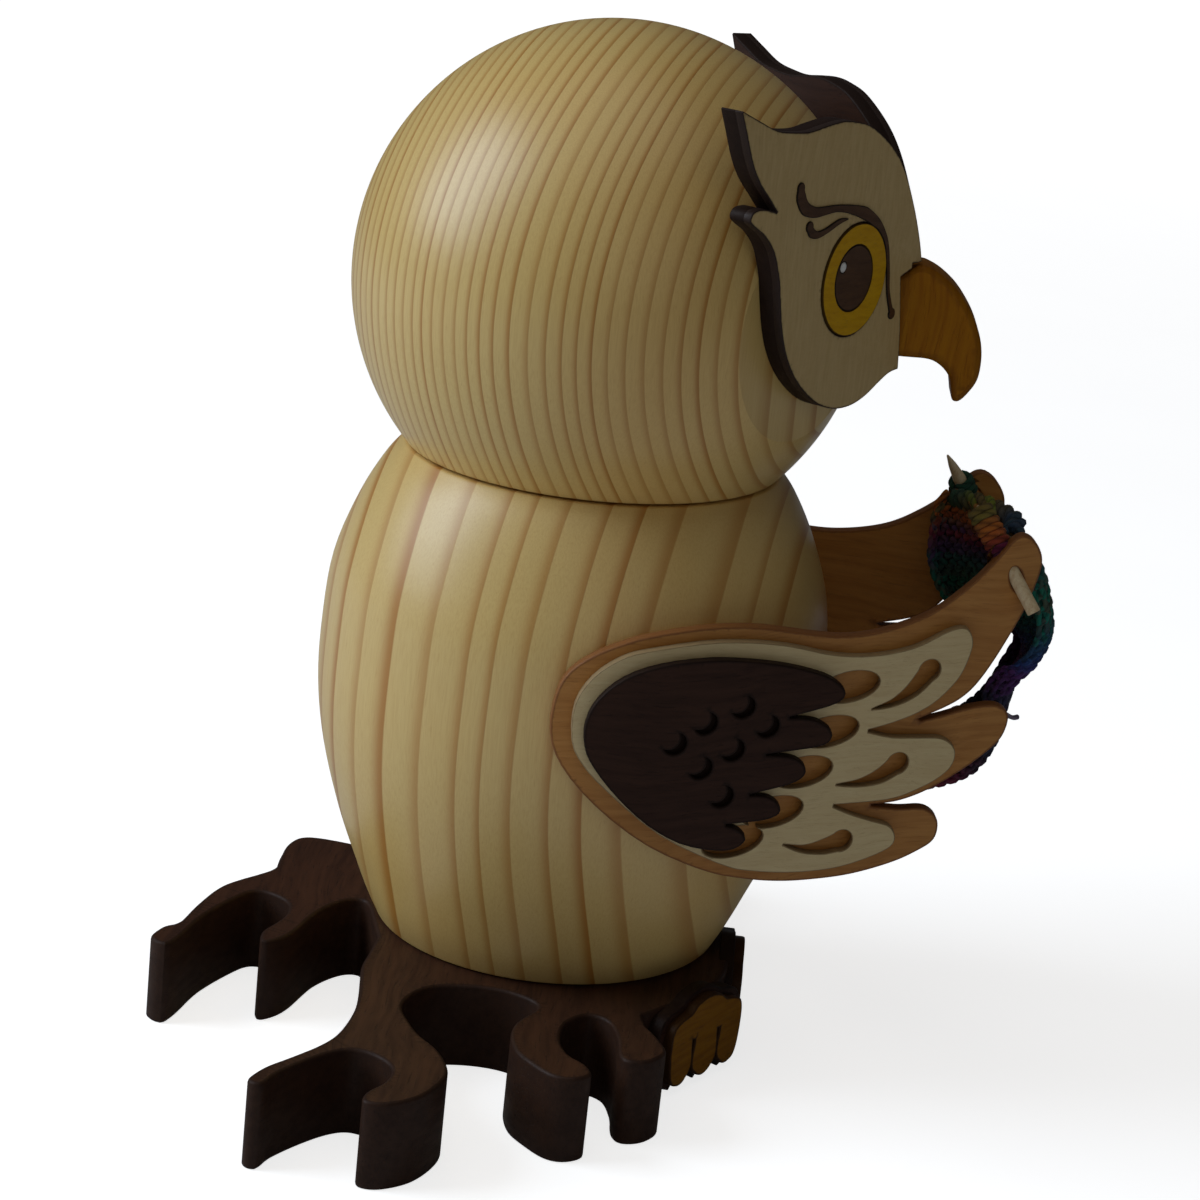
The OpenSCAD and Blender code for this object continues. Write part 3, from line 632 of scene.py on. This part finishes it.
def wing_plate(layer, side):
    """Replaces one layer of a bent wing, on a surface that follows the belly and then runs on."""
    node = f"wing_{layer}_{side}"
    sign = LEFT[side]
    beyond, thick = WING_LAYERS[layer]
    outer = BELLY_R + beyond
    bm = welded(node)
    bm.transform(BODY_TURN.inverted())
    bm.normal_update()
    loops = face_loops(bm, Vector((sign, 0, 0)), 0.5, lambda p: Vector((p.y, p.z)),
                       lambda p: wing_radius(abs(p.x), p.y) > outer - 0.3 * MM)
    bm.free()

    def place(y, z, depth):
        if layer == "back" and math.hypot(y - TIP_HOLE.y, z - TIP_HOLE.z) < HOLE_NEAR:
            y, z = y + depth * HOLE_RUN[0], z + depth * HOLE_RUN[1]
        radius = outer - depth
        bend_y = -radius * math.sin(WING_LEAVE)
        if y >= bend_y:
            x = math.sqrt(max(radius ** 2 - y ** 2, 0))
        else:
            x = radius * math.cos(WING_LEAVE) - (bend_y - y) * math.tan(WING_LEAVE)
        return BODY_TURN @ Vector((sign * x, y, z))

    look, ease = WING_LOOKS[layer]
    blind = CRESCENT_DEPTH if layer == "front" else None
    piece = plate(node + "_cut", loops, place, thick, ease, cell=1.6 * MM, blind=blind)
    return settle(piece, look, node)


# a face inlay's material, how far its front and back rims are eased, and its outline's step
INLAYS = {"brow": ("inlay", 0.08, 0.01, 0.3), "brow_curl": ("inlay", 0.08, 0.01, 0.3),
          "eye_ring": ("yellow", 0.08, 0.03, 0.5), "pupil": ("inlay", 0.08, 0.03, 0.3),
          "eye_glint": ("white", 0.28, 0.03, 0.15)}
FORWARD = Vector((0, -1, 0))

for side in LEFT:
    for layer in WING_LAYERS:
        wing_plate(layer, side)
    trim = mask_trim(LEFT[side])
    ahead = Vector((LEFT[side] * math.sin(MASK_SWING), -math.cos(MASK_SWING), 0))
    flat_plate(f"mask_back_{side}", "walnut", ahead, 0.02 * MM, trim, back_ease=0.2 * MM)
    flat_plate(f"mask_front_{side}", "mask", ahead, 0.12 * MM, trim, back_ease=0.02 * MM,
               reaches=0.55 * MM)
    for inlay, (look, ease, back_ease, step) in INLAYS.items():
        flat_plate(f"{inlay}_{side}", look, ahead, ease * MM, back_ease=back_ease * MM,
                   step=step * MM)
    flat_plate(f"foot_back_{side}", "walnut", FORWARD, 0.2 * MM, back_ease=0.05 * MM)
    flat_plate(f"foot_{side}", "foot", FORWARD, 0.2 * MM, back_ease=0.05 * MM,
               step=0.3 * MM, reaches=0.05 * MM)
flat_plate("base_board", "base", UP, 0.5 * MM, back_ease=0.4 * MM, cell=3 * MM)
flat_plate("beak", "beak", Vector((-1, 0, 0)), 0.75 * MM, cell=1.5 * MM)


# ---- turned pieces ----------------------------------------------------------

def eased(profile, radius, closed=True):
    """The (radius, height) profile with its corners rounded off."""
    made = []
    count = len(profile)
    for i, (r, z) in enumerate(profile):
        corner = Vector((r, z))
        before, after = Vector(profile[i - 1]), Vector(profile[(i + 1) % count])
        a, b = before - corner, after - corner
        on_axis = r < 1e-6 or (not closed and i in (0, count - 1))
        if on_axis or math.pi - a.angle(b) < math.radians(20):
            made.append((r, z))
            continue
        near = corner + a.normalized() * min(radius, a.length * 0.45)
        far = corner + b.normalized() * min(radius, b.length * 0.45)
        for k in range(5):
            t = k / 4
            made.append(tuple(near * (1 - t) ** 2 + corner * 2 * t * (1 - t) + far * t ** 2))
    return made


def lathe(name, profile, segments=160, closed=True):
    """A turned piece about the Z axis from its (radius, height) profile."""
    points, rings = [], []
    for r, z in profile:
        if r < 1e-6:
            rings.append([len(points)] * segments)
            points.append((0, 0, z))
            continue
        rings.append(list(range(len(points), len(points) + segments)))
        points += [(r * math.cos(2 * math.pi * i / segments),
                    r * math.sin(2 * math.pi * i / segments), z) for i in range(segments)]
    faces = []
    pairs = list(zip(rings, rings[1:])) + ([(rings[-1], rings[0])] if closed else [])
    for one, two in pairs:
        if one[0] == one[1] and two[0] == two[1]:
            continue
        for i in range(segments):
            corners = (one[i - 1], one[i], two[i], two[i - 1])
            face = list(dict.fromkeys(corners))
            if len(face) > 2:
                faces.append(face)
    return mesh_piece(name, points, faces)


def body_profile():
    """The barrel's outer silhouette as the CAD shell has it, then its neck bore and chamber."""
    widest = {}
    for vertex in frame["nodes"]["body_shell"].data.vertices:
        r, z = math.hypot(vertex.co.x, vertex.co.y), round(vertex.co.z, 6)
        if r > CHAMBER_R + 3 * MM:
            widest.setdefault(z, []).append(r)
    rings = [(max(found), z) for z, found in sorted(widest.items()) if len(found) > 24]
    low, high = rings[0][1], rings[-1][1]
    return rings + [(NECK_BORE_R, high), (NECK_BORE_R, NECK_BORE_Z), (CHAMBER_R, CHAMBER_TOP_Z),
                    (CHAMBER_R, low)]


settle(lathe("body_shell_turned", eased(body_profile(), 0.45 * MM), 220), "body", "body_shell")

plug_low, plug_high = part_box("seat_plug")
board_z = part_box("base_board")[1].z
dish_low, dish_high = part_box("incense_dish")
WELL_R, SPIGOT_R, DISH_T = 12 * MM, 11 * MM, 0.5 * MM
seat_r, dish_rim_r = plug_high.x, dish_high.x
settle(lathe("seat_plug_turned", eased([
    (0, plug_low.z), (SPIGOT_R, plug_low.z), (SPIGOT_R, board_z), (seat_r, board_z),
    (seat_r, plug_high.z - MM), (seat_r - MM, plug_high.z), (WELL_R, plug_high.z),
    (WELL_R, dish_low.z), (0, dish_low.z)], 0.3 * MM), closed=False), "inner", "seat_plug")
settle(lathe("incense_dish_pressed", eased([
    (0, dish_low.z), (WELL_R, dish_low.z), (WELL_R, plug_high.z), (dish_rim_r, plug_high.z),
    (dish_rim_r, dish_high.z), (WELL_R - DISH_T, dish_high.z),
    (WELL_R - DISH_T, dish_low.z + DISH_T), (0, dish_low.z + DISH_T)], 0.22 * MM),
    closed=False), "brass", "incense_dish")
neck_low, neck_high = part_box("neck_tube")
settle(lathe("neck_tube_turned", eased([
    (neck_high.x, neck_low.z), (neck_high.x, neck_high.z), (SMOKE_R, neck_high.z),
    (SMOKE_R, neck_low.z)], 0.4 * MM)), "inner", "neck_tube")
for side in LEFT:
    dowel = frame["nodes"][f"wing_dowel_{side}"]
    dowel.data.materials.clear()
    dowel.data.materials.append(MATERIALS["birch"])
    needle = lathe(f"needle_{side}_turned", eased([
        (0, -NEEDLE_OUT), (NEEDLE_R, -NEEDLE_OUT), (NEEDLE_R, NEEDLE_IN - NEEDLE_POINT),
        (0.6 * NEEDLE_R, NEEDLE_IN - 0.4 * NEEDLE_POINT), (0.15 * MM, NEEDLE_IN),
        (0, NEEDLE_IN)], 0.25 * MM), 32, closed=False)
    where = Matrix.Translation(TIP_HOLE) @ NEEDLE_DIR.to_track_quat("Z", "X").to_matrix().to_4x4()
    mirror = Matrix.Scale(-1, 4, Vector((1, 0, 0))) if LEFT[side] > 0 else Matrix()
    needle.data.transform(BODY_TURN @ mirror @ where)
    if LEFT[side] > 0:
        needle.data.flip_normals()
    settle(needle, "birch", f"needle_{side}")


def bored(piece, axis_z, radius, ahead):
    """Drills a hole along -Y from the piece's middle, with a slightly broken edge."""
    edge = 0.35 * MM
    wide, end = radius + 2 * edge, ahead + 10 * MM
    drill = lathe("drill", [(0, 0), (radius, 0), (radius, ahead - edge), (wide, ahead + edge),
                            (wide, end), (0, end)], 48, closed=False)
    drill.data.transform(Matrix.Translation((0, 0, axis_z)) @ Matrix.Rotation(math.pi / 2, 4, "X"))
    cut = piece.modifiers.new("bore", "BOOLEAN")
    cut.operation, cut.object, cut.solver = "DIFFERENCE", drill, "EXACT"
    graph = bpy.context.evaluated_depsgraph_get()
    made = bpy.data.meshes.new_from_object(piece.evaluated_get(graph))
    piece.modifiers.clear()
    piece.data = made
    bpy.data.objects.remove(drill)


def head():
    """The ball with its seam face, neck bore, two mask flats and the smoke hole in front."""
    low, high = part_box("head_ball")
    radius = high.y
    middle = high.z - radius
    dip = math.acos((low.z - middle) / radius)
    sphere = [(radius * math.sin(a), middle + radius * math.cos(a))
              for a in (dip * (1 - k / 120) for k in range(121))]
    profile = sphere[:-1] + [(0, high.z)]
    bores = [(0, SMOKE_TOP_Z), (SMOKE_R, SMOKE_TOP_Z), (SMOKE_R, NECK_TOP_Z),
             (neck_high.x, NECK_TOP_Z), (neck_high.x, low.z)]
    piece = lathe("head_ball_turned", eased(bores + profile, 0.4 * MM, closed=False), 240,
                  closed=False)
    bm = bmesh.new()
    bm.from_mesh(piece.data)
    for sign in LEFT.values():
        normal = Vector((sign * math.sin(MASK_SWING), -math.cos(MASK_SWING), 0))
        flat = normal * (RIDGE_Y * math.cos(MASK_SWING) - MASK_T)
        cut = bmesh.ops.bisect_plane(bm, geom=bm.verts[:] + bm.edges[:] + bm.faces[:], dist=1e-7,
                                     plane_co=flat, plane_no=normal, clear_outer=True)
        rim = [e for e in cut["geom_cut"] if isinstance(e, bmesh.types.BMEdge)]
        bmesh.ops.edgeloop_fill(bm, edges=rim)
        for edge in rim:
            edge.smooth = False
    for face in bm.faces:
        face.smooth = len(face.verts) < 6
    bmesh.ops.recalc_face_normals(bm, faces=bm.faces)
    bm.to_mesh(piece.data)
    bm.free()
    bored(piece, MOUTH_Z, MOUTH_R, math.sqrt(radius ** 2 - (MOUTH_Z - middle) ** 2))
    settle(piece, "head", "head_ball")


head()


# ---- knitting ---------------------------------------------------------------

STITCH_W, ROW_H = 2.1 * MM, 1.75 * MM
STITCHES = 13
FLAT_W = STITCH_W * STITCHES
YARN_R = 0.47 * MM
DYE_STRENGTH = 1.35
LOOP_A, LOOP_LEAN, LOOP_DEPTH = 1.45 * MM, 0.24 * MM, 0.42 * MM
CURL_FROM, CURL_R = 9.6 * MM, 1.5 * MM
RIPPLE = 0.4 * MM
PLY_PITCH = 2.0 * MM
# the strip's two edges, from the needles downwards, in the body's own frame
NEAR_EDGE = [(-14.3, -59.6, 84.4), (-13, -62.2, 82.1), (-11, -65.2, 79.6), (-10, -67.6, 75.8),
             (-9.8, -69.3, 71.9), (-9.8, -69.9, 68.6), (-9.8, -69, 65.4), (-9.8, -67, 62.4),
             (-9.8, -64.6, 60), (-9.8, -63.6, 57.2), (-9.8, -64.2, 53.4), (-9.8, -63.4, 49.8),
             (-9.8, -61.3, 46.5), (-9.8, -58.8, 44.4), (-9.8, -54.8, 42.4), (-9.8, -50, 40.2)]
FAR_EDGE = [(14.2, -57.4, 82.6), (14, -56.6, 79.5), (13.5, -56.5, 75), (13, -57, 70.5),
            (12.2, -59, 66.8), (11.2, -63.8, 64.4), (10.2, -69, 63), (9.6, -71.2, 61.2),
            (9.5, -71.2, 58.9), (9.5, -69.8, 56.5), (9.5, -68.4, 53.5), (9.5, -67, 50.3),
            (9.5, -64.6, 47), (9.5, -61, 44.8), (9.5, -56.4, 42.8), (9.5, -51.4, 40.6)]
# dye down the two edges: distance from the needles and colour
NEAR_DYES = [
    (0, (0.42, 0.15, 0.03)), (4, (0.48, 0.12, 0.03)), (7, (0.16, 0.02, 0.06)),
    (10, (0.02, 0.09, 0.10)), (14, (0.010, 0.15, 0.10)), (20, (0.012, 0.13, 0.11)),
    (23, (0.02, 0.07, 0.12)), (27, (0.03, 0.05, 0.20)), (31, (0.09, 0.03, 0.14)),
    (36, (0.03, 0.045, 0.08)), (44, (0.03, 0.03, 0.05)), (49, (0.10, 0.02, 0.05)),
    (54, (0.17, 0.02, 0.04)),
]
FAR_DYES = [
    (0, (0.21, 0.17, 0.04)), (4, (0.16, 0.12, 0.05)), (6, (0.09, 0.05, 0.13)),
    (9, (0.08, 0.05, 0.15)), (12, (0.05, 0.10, 0.08)), (17, (0.07, 0.09, 0.06)),
    (21, (0.02, 0.08, 0.13)), (26, (0.03, 0.06, 0.22)), (31, (0.10, 0.03, 0.15)),
    (36, (0.05, 0.03, 0.09)), (40, (0.03, 0.04, 0.08)), (46, (0.03, 0.03, 0.05)),
    (50, (0.14, 0.02, 0.05)), (54, (0.18, 0.02, 0.04)),
]


def catmull(points, steps):
    """A smooth curve through the points."""
    points = [Vector(p) for p in points]
    ends = [points[0] * 2 - points[1], *points, points[-1] * 2 - points[-2]]
    made = []
    for a, b, c, d in zip(ends, ends[1:], ends[2:], ends[3:]):
        for k in range(steps):
            t = k / steps
            made.append(0.5 * (2 * b + (c - a) * t + (2 * a - 5 * b + 4 * c - d) * t * t
                               + (3 * b - a - 3 * c + d) * t ** 3))
    return made + [points[-1]]


class Strip:
    """The knitted strip's middle surface: distance down it, across it and off its front."""

    def __init__(self, *edges):
        self.edges, lengths = [], []
        for edge in edges:
            curve = np.array([tuple(p) for p in catmull(edge, 16)]) * MM
            marks = np.r_[0, np.cumsum(np.linalg.norm(np.diff(curve, axis=0), axis=1))]
            self.edges.append((marks / marks[-1], curve))
            lengths.append(marks[-1])
        self.length = sum(lengths) / len(lengths)

    def edge(self, number, share):
        marks, curve = self.edges[number]
        return Vector([np.interp(share, marks, curve[:, k]) for k in range(3)])

    def at(self, down, across, off):
        share, little = down / self.length, 0.02
        near, far = self.edge(0, share), self.edge(1, share)
        way = (self.edge(0, share + little) + self.edge(1, share + little)
               - self.edge(0, share - little) - self.edge(1, share - little))
        half = (far - near) / 2
        front = way.cross(half).normalized()
        past = max(0.0, abs(across) - CURL_FROM) / CURL_R
        reach = math.copysign(min(abs(across), CURL_FROM) + CURL_R * math.sin(past), across)
        ripple = RIPPLE * math.sin(down / (3.1 * MM) + across / (6 * MM))
        back = CURL_R * (1 - math.cos(past))
        spot = (near + far) / 2 + half * (reach / (CURL_FROM + CURL_R))
        spot += front * (off * math.cos(past) + ripple - back)
        spot += half.normalized() * math.copysign(off * math.sin(past), across)
        return BODY_TURN @ spot


LOOSE_END = [(-9.6, -62.6, 56), (-9.8, -64.2, 55), (-9.8, -65.6, 54.4), (-9.7, -66.6, 54.6)]
LOOSE_DYE = (0.30, 0.26, 0.36)


def dye_at(down, across, seed=0.0):
    """The yarn's colour at a place on the strip, blotched as hand-dyed wool is."""
    blot = noise.noise(Vector((down / (4 * MM), across / (5 * MM), seed)))
    d = down / MM + 1.6 * blot
    far = min(max(0.5 + across / FLAT_W + 0.35 * blot, 0), 1)
    shade = 1 + 0.35 * noise.noise(Vector((down / (2 * MM), across / (2 * MM), seed + 9)))
    colours = [[float(np.interp(d, [m for m, _ in dyes], [c[k] for _, c in dyes]))
                for k in range(3)] for dyes in (NEAR_DYES, FAR_DYES)]
    return [DYE_STRENGTH * shade * (a * (1 - far) + b * far) for a, b in zip(*colours)]


def yarn_piece(name, points, faces, dyes, twists):
    made = mesh_piece(name, points, faces)
    set_values(made, "dye_and_cloth_shade", "FLOAT_COLOR", dyes)
    set_values(made, "twist", "FLOAT_VECTOR", twists)
    return made


class Strands:
    """Collects yarn tubes into one mesh, with their dye and the twist of their plies."""

    def __init__(self, sides=8):
        self.sides = sides
        self.points, self.faces, self.dyes, self.twists = [], [], [], []

    def tube(self, path, dyes, radius=YARN_R, twist_from=0.0):
        path = [Vector(p) for p in path]
        ways = [(path[min(i + 1, len(path) - 1)] - path[max(i - 1, 0)]).normalized()
                for i in range(len(path))]
        side = ways[0].orthogonal().normalized()
        run, first = twist_from, len(self.points)
        for i, (spot, way) in enumerate(zip(path, ways)):
            side = (side - way * side.dot(way)).normalized()
            other = way.cross(side)
            if i:
                run += (spot - path[i - 1]).length
            turn = math.pi * run / PLY_PITCH
            narrow = 0.55 if i in (0, len(path) - 1) else 1.0
            for k in range(self.sides):
                around = 2 * math.pi * k / self.sides
                lobe = math.cos(around - turn)
                swell = radius * narrow * (0.86 + 0.2 * abs(lobe))
                outward = side * math.cos(around) + other * math.sin(around)
                self.points.append(spot + outward * swell)
                self.twists.append((lobe, run / MM, 0))
                self.dyes.append((*dyes[i], 1))
        n = self.sides
        for i in range(len(path) - 1):
            a, b = first + i * n, first + (i + 1) * n
            self.faces += [(a + k, a + (k + 1) % n, b + (k + 1) % n, b + k) for k in range(n)]
        self.faces.append([first + k for k in range(n)][::-1])
        self.faces.append([first + (len(path) - 1) * n + k for k in range(n)])

    def piece(self, name):
        return yarn_piece(name, self.points, self.faces, self.dyes, self.twists)


strip = Strip(NEAR_EDGE, FAR_EDGE)
ROWS = int((strip.length - 2 * MM) / ROW_H)
LOOP_POINTS = 14


def stitch_row(strands, number):
    """One course of plain stitches: legs in front, heads and feet behind."""
    middle = (number + 0.75) * ROW_H + 0.6 * MM
    path, dyes = [], []
    total = STITCHES * LOOP_POINTS
    for i in range(total + 1):
        t = 2 * math.pi * i / LOOP_POINTS
        jitter = noise.noise(Vector((i * 0.31, number * 1.7, 4.2))) * 0.16 * MM
        across = FLAT_W * (i / total - 0.5) + LOOP_LEAN * math.sin(2 * t)
        down = middle + (LOOP_A + jitter) * math.cos(t) + jitter
        down = min(max(down, 0.2 * MM), strip.length - 0.2 * MM)
        off = -LOOP_DEPTH * math.cos(2 * t) + jitter
        path.append(strip.at(down, across, off))
        dyes.append(dye_at(down, across if number % 2 else -across, number * 0.37))
    strands.tube(path, dyes, twist_from=number * 5.3 * MM)


def backing():
    """The thin cloth between the stitches' two faces, drawn into a rib at each row, and darkened as
    painted shade.
    """
    across_n, down_n = 54, 120
    half_t = 0.22 * MM
    points, dyes, twists = [], [], []
    for face in (1, -1):
        for i in range(down_n + 1):
            down = strip.length * (0.01 + 0.98 * i / down_n)
            for j in range(across_n + 1):
                across = (FLAT_W - 0.8 * MM) * (j / across_n - 0.5)
                rib = 0.1 * MM * math.cos(2 * math.pi * down / ROW_H)
                rib += 0.08 * MM * math.cos(2 * math.pi * across / STITCH_W)
                points.append(strip.at(down, across, face * half_t + rib))
                # painted shade: the cloth takes 0.45 of the yarn's dye so the gaps between the
                # stitches read as shaded, and its fixed ridge of 0.3 adds the yarn material's
                # painted groove shade
                dyes.append((*[0.45 * c for c in dye_at(down, across)], 1))
                twists.append((0.3, 0, 0))
    wide, size = across_n + 1, (across_n + 1) * (down_n + 1)
    faces = []
    for i in range(down_n):
        for j in range(across_n):
            a = i * wide + j
            faces.append((a, a + 1, a + wide + 1, a + wide))
            faces.append((size + a, size + a + wide, size + a + wide + 1, size + a + 1))
    rim = list(range(wide)) + [i * wide + across_n for i in range(1, down_n + 1)]
    rim += [down_n * wide + j for j in range(across_n - 1, -1, -1)]
    rim += [i * wide for i in range(down_n - 1, 0, -1)]
    for a, b in zip(rim, rim[1:] + rim[:1]):
        faces.append((a, b, size + b, size + a))
    return yarn_piece("knitting_cloth", points, faces, dyes, twists)


# the rope from the right needle to the left one, and its dyes at those ends
ROPE = [(-13.4, -60.6, 83.4), (-9, -61.9, 84), (-4, -61.2, 83.9), (1, -60.2, 83.4),
        (6, -59, 82.6), (11, -57.8, 81.6), (14, -57.3, 81)]
ROPE_NEAR, ROPE_FAR = (0.02, 0.06, 0.13), (0.02, 0.09, 0.06)


def on_needle(side, along, around, radius):
    """A point on a helix about a needle's axis."""
    a = NEEDLE_DIR.orthogonal().normalized()
    b = NEEDLE_DIR.cross(a)
    spot = TIP_HOLE + NEEDLE_DIR * along + (a * math.cos(around) + b * math.sin(around)) * radius
    return BODY_TURN @ Vector((spot.x * -LEFT[side], spot.y, spot.z))


def first_row():
    """Stitches held by the needles: loops round each, and a rope of yarn slung between them."""
    strands = Strands()
    held = {
        "right": (1.9, [(0.10, 0.02, 0.06), (0.16, 0.02, 0.06), (0.34, 0.06, 0.03),
                        (0.50, 0.13, 0.03), (0.55, 0.17, 0.03), (0.42, 0.15, 0.03),
                        (0.24, 0.19, 0.04), (0.22, 0.16, 0.04)]),
        "left": (2.2, [(0.015, 0.07, 0.04), (0.02, 0.09, 0.05), (0.02, 0.08, 0.05)]),
    }
    for side, (low, colours) in held.items():
        for i, colour in enumerate(colours):
            start = (low + 1.02 * i) * MM
            path = [on_needle(side, start + 0.5 * MM * k / 24 + 0.25 * MM * math.sin(k / 4),
                              2 * math.pi * k / 24, NEEDLE_R + YARN_R) for k in range(25)]
            strands.tube(path, [colour] * len(path), YARN_R * 1.15, i * 3 * MM)
    rope_line, thick = catmull(ROPE, 16), 0.95 * MM
    rope = [(0.20, 0.14, 0.04), (0.24, 0.29, 0.03), (0.16, 0.12, 0.04), (0.20, 0.15, 0.04),
            (0.22, 0.25, 0.03)]
    for i, colour in enumerate(rope):
        path, dyes = [], []
        for k, spot in enumerate(rope_line):
            along = 2 * k / (len(rope_line) - 1) - 1
            turn = 2 * math.pi * (0.8 * along + i / len(rope))
            off = Vector((0, math.cos(turn), math.sin(turn))) * thick
            path.append(BODY_TURN @ (spot * MM + off))
            end = ROPE_NEAR if along < 0 else ROPE_FAR
            share = 0.9 * min(1, abs(along) * 1.6) ** 2
            dyes.append([c * (1 - share) + e * share for c, e in zip(colour, end)])
        strands.tube(path, dyes, YARN_R * 1.5, i * 9 * MM)
    return strands.piece("knitting_first_row")


def loose_end(strands):
    """The short end of yarn that stands out beside a wing's middle feather."""
    path = [BODY_TURN @ (Vector(p) * MM) for p in catmull(LOOSE_END, 6)]
    strands.tube(path, [LOOSE_DYE] * len(path), 0.8 * YARN_R)


def knitting():
    rows = Strands()
    for number in range(ROWS):
        stitch_row(rows, number)
    loose_end(rows)
    stitches = settle(rows.piece("knitting_stitches"), "yarn", body=HOME["knitting"], slot="yarn")
    held = settle(first_row(), "yarn", body=HOME["knitting"], slot="yarn")
    cloth = settle(backing(), "yarn", "knitting")


knitting()


# ---- stage ------------------------------------------------------------------

def camera():
    """The camera stands level with the shoulder, on the owl's right and a little above it."""
    azimuth, elevation, roll = math.radians(-88), math.radians(17.5), math.radians(5.96)
    distance, target = 0.45408, Vector((0, 0, 0.0632))
    back = Vector((math.sin(azimuth) * math.cos(elevation),
                   -math.cos(azimuth) * math.cos(elevation), math.sin(elevation)))
    right = UP.cross(back).normalized()
    upward = back.cross(right)
    tilted = right * math.cos(roll) + upward * math.sin(roll)
    raised = upward * math.cos(roll) - right * math.sin(roll)
    data = bpy.data.cameras.new("camera")
    data.lens, data.sensor_width = 91.08, 36
    data.shift_x, data.shift_y = 0.0189, 0.004
    data.clip_start = 0.01
    made = placed_object("camera", data)
    made.matrix_world = Matrix.Translation(target + back * distance) @ Matrix(
        (tilted, raised, back)).transposed().to_4x4()
    bpy.context.scene.camera = made


def soft_light(name, towards, distance, size, power, colour):
    """A soft box that looks at the owl from the given direction."""
    data = bpy.data.lights.new(name, "AREA")
    data.shape, data.size, data.size_y = "RECTANGLE", *size
    data.energy, data.color = power, colour
    made = placed_object(name, data)
    towards = Vector(towards).normalized()
    made.location = Vector((0, 0, 0.08)) + towards * distance
    made.rotation_mode = "QUATERNION"
    made.rotation_quaternion = towards.to_track_quat("Z", "Y")


# the floor's own glow, and how far from the owl it starts and stops rising, in millimetres
GLOW_LOW, GLOW_HIGH, GLOW_FROM, GLOW_TO = 0.75, 0.98, 200.0, 1500.0


def floor():
    """A plain pale floor, seen a little brighter than the light that it gives back."""
    half = 6.0
    made = mesh_piece("floor", [(-half, -half, 0), (half, -half, 0), (half, half, 0),
                                (-half, half, 0)], [(0, 1, 2, 3)])
    look = Look("pale_floor", Roughness=0.85, Specular_IOR_Level=0.2)
    seen = look.node("ShaderNodeLightPath", {}).outputs["Is Camera Ray"]
    here = look.here()
    speck = look.noise(here, 0.02, 3.0)
    # the lights fade away from the owl, so the floor's own glow rises there
    glow = look.step(look.vector("LENGTH", here), GLOW_FROM, GLOW_TO, GLOW_LOW, GLOW_HIGH)
    colour = look.mix(look.step(speck, 0.3, 0.7), (0.78, 0.78, 0.785), (0.76, 0.76, 0.765))
    look.feed(look.shader.inputs["Base Color"], colour)
    look.shader.inputs["Emission Color"].default_value = (1, 1, 1, 1)
    look.feed(look.shader.inputs["Emission Strength"], look.math("MULTIPLY", seen, glow))
    made.data.materials.append(look.mat)


def world():
    made = bpy.data.worlds.new("studio")
    bpy.context.scene.world = made
    made.use_nodes = True
    tree = made.node_tree
    ground = tree.nodes["Background"]
    seen = tree.nodes.new("ShaderNodeLightPath").outputs["Is Camera Ray"]
    level = tree.nodes.new("ShaderNodeMapRange")
    tree.links.new(seen, level.inputs["Value"])
    level.inputs["To Min"].default_value, level.inputs["To Max"].default_value = 0.042, 1.0
    ground.inputs["Color"].default_value = (0.95, 0.97, 1.0, 1)
    tree.links.new(level.outputs["Result"], ground.inputs["Strength"])


camera()
floor()
world()
# soft boxes: direction from the owl, distance, size, power in watts and colour
soft_light("window", (-0.10, 0.85, 0.52), 1.0, (0.55, 0.7), 6.4, (0.80, 0.89, 1.0))
soft_light("overhead", (-0.15, 0.15, 1.0), 1.2, (1.2, 1.2), 2.1, (1.0, 0.97, 0.92))
soft_light("fill", (-1.0, -0.25, 0.45), 1.4, (1.0, 1.0), 0.95, (1.0, 0.94, 0.84))
bpy.context.scene.view_settings.view_transform = "Standard"
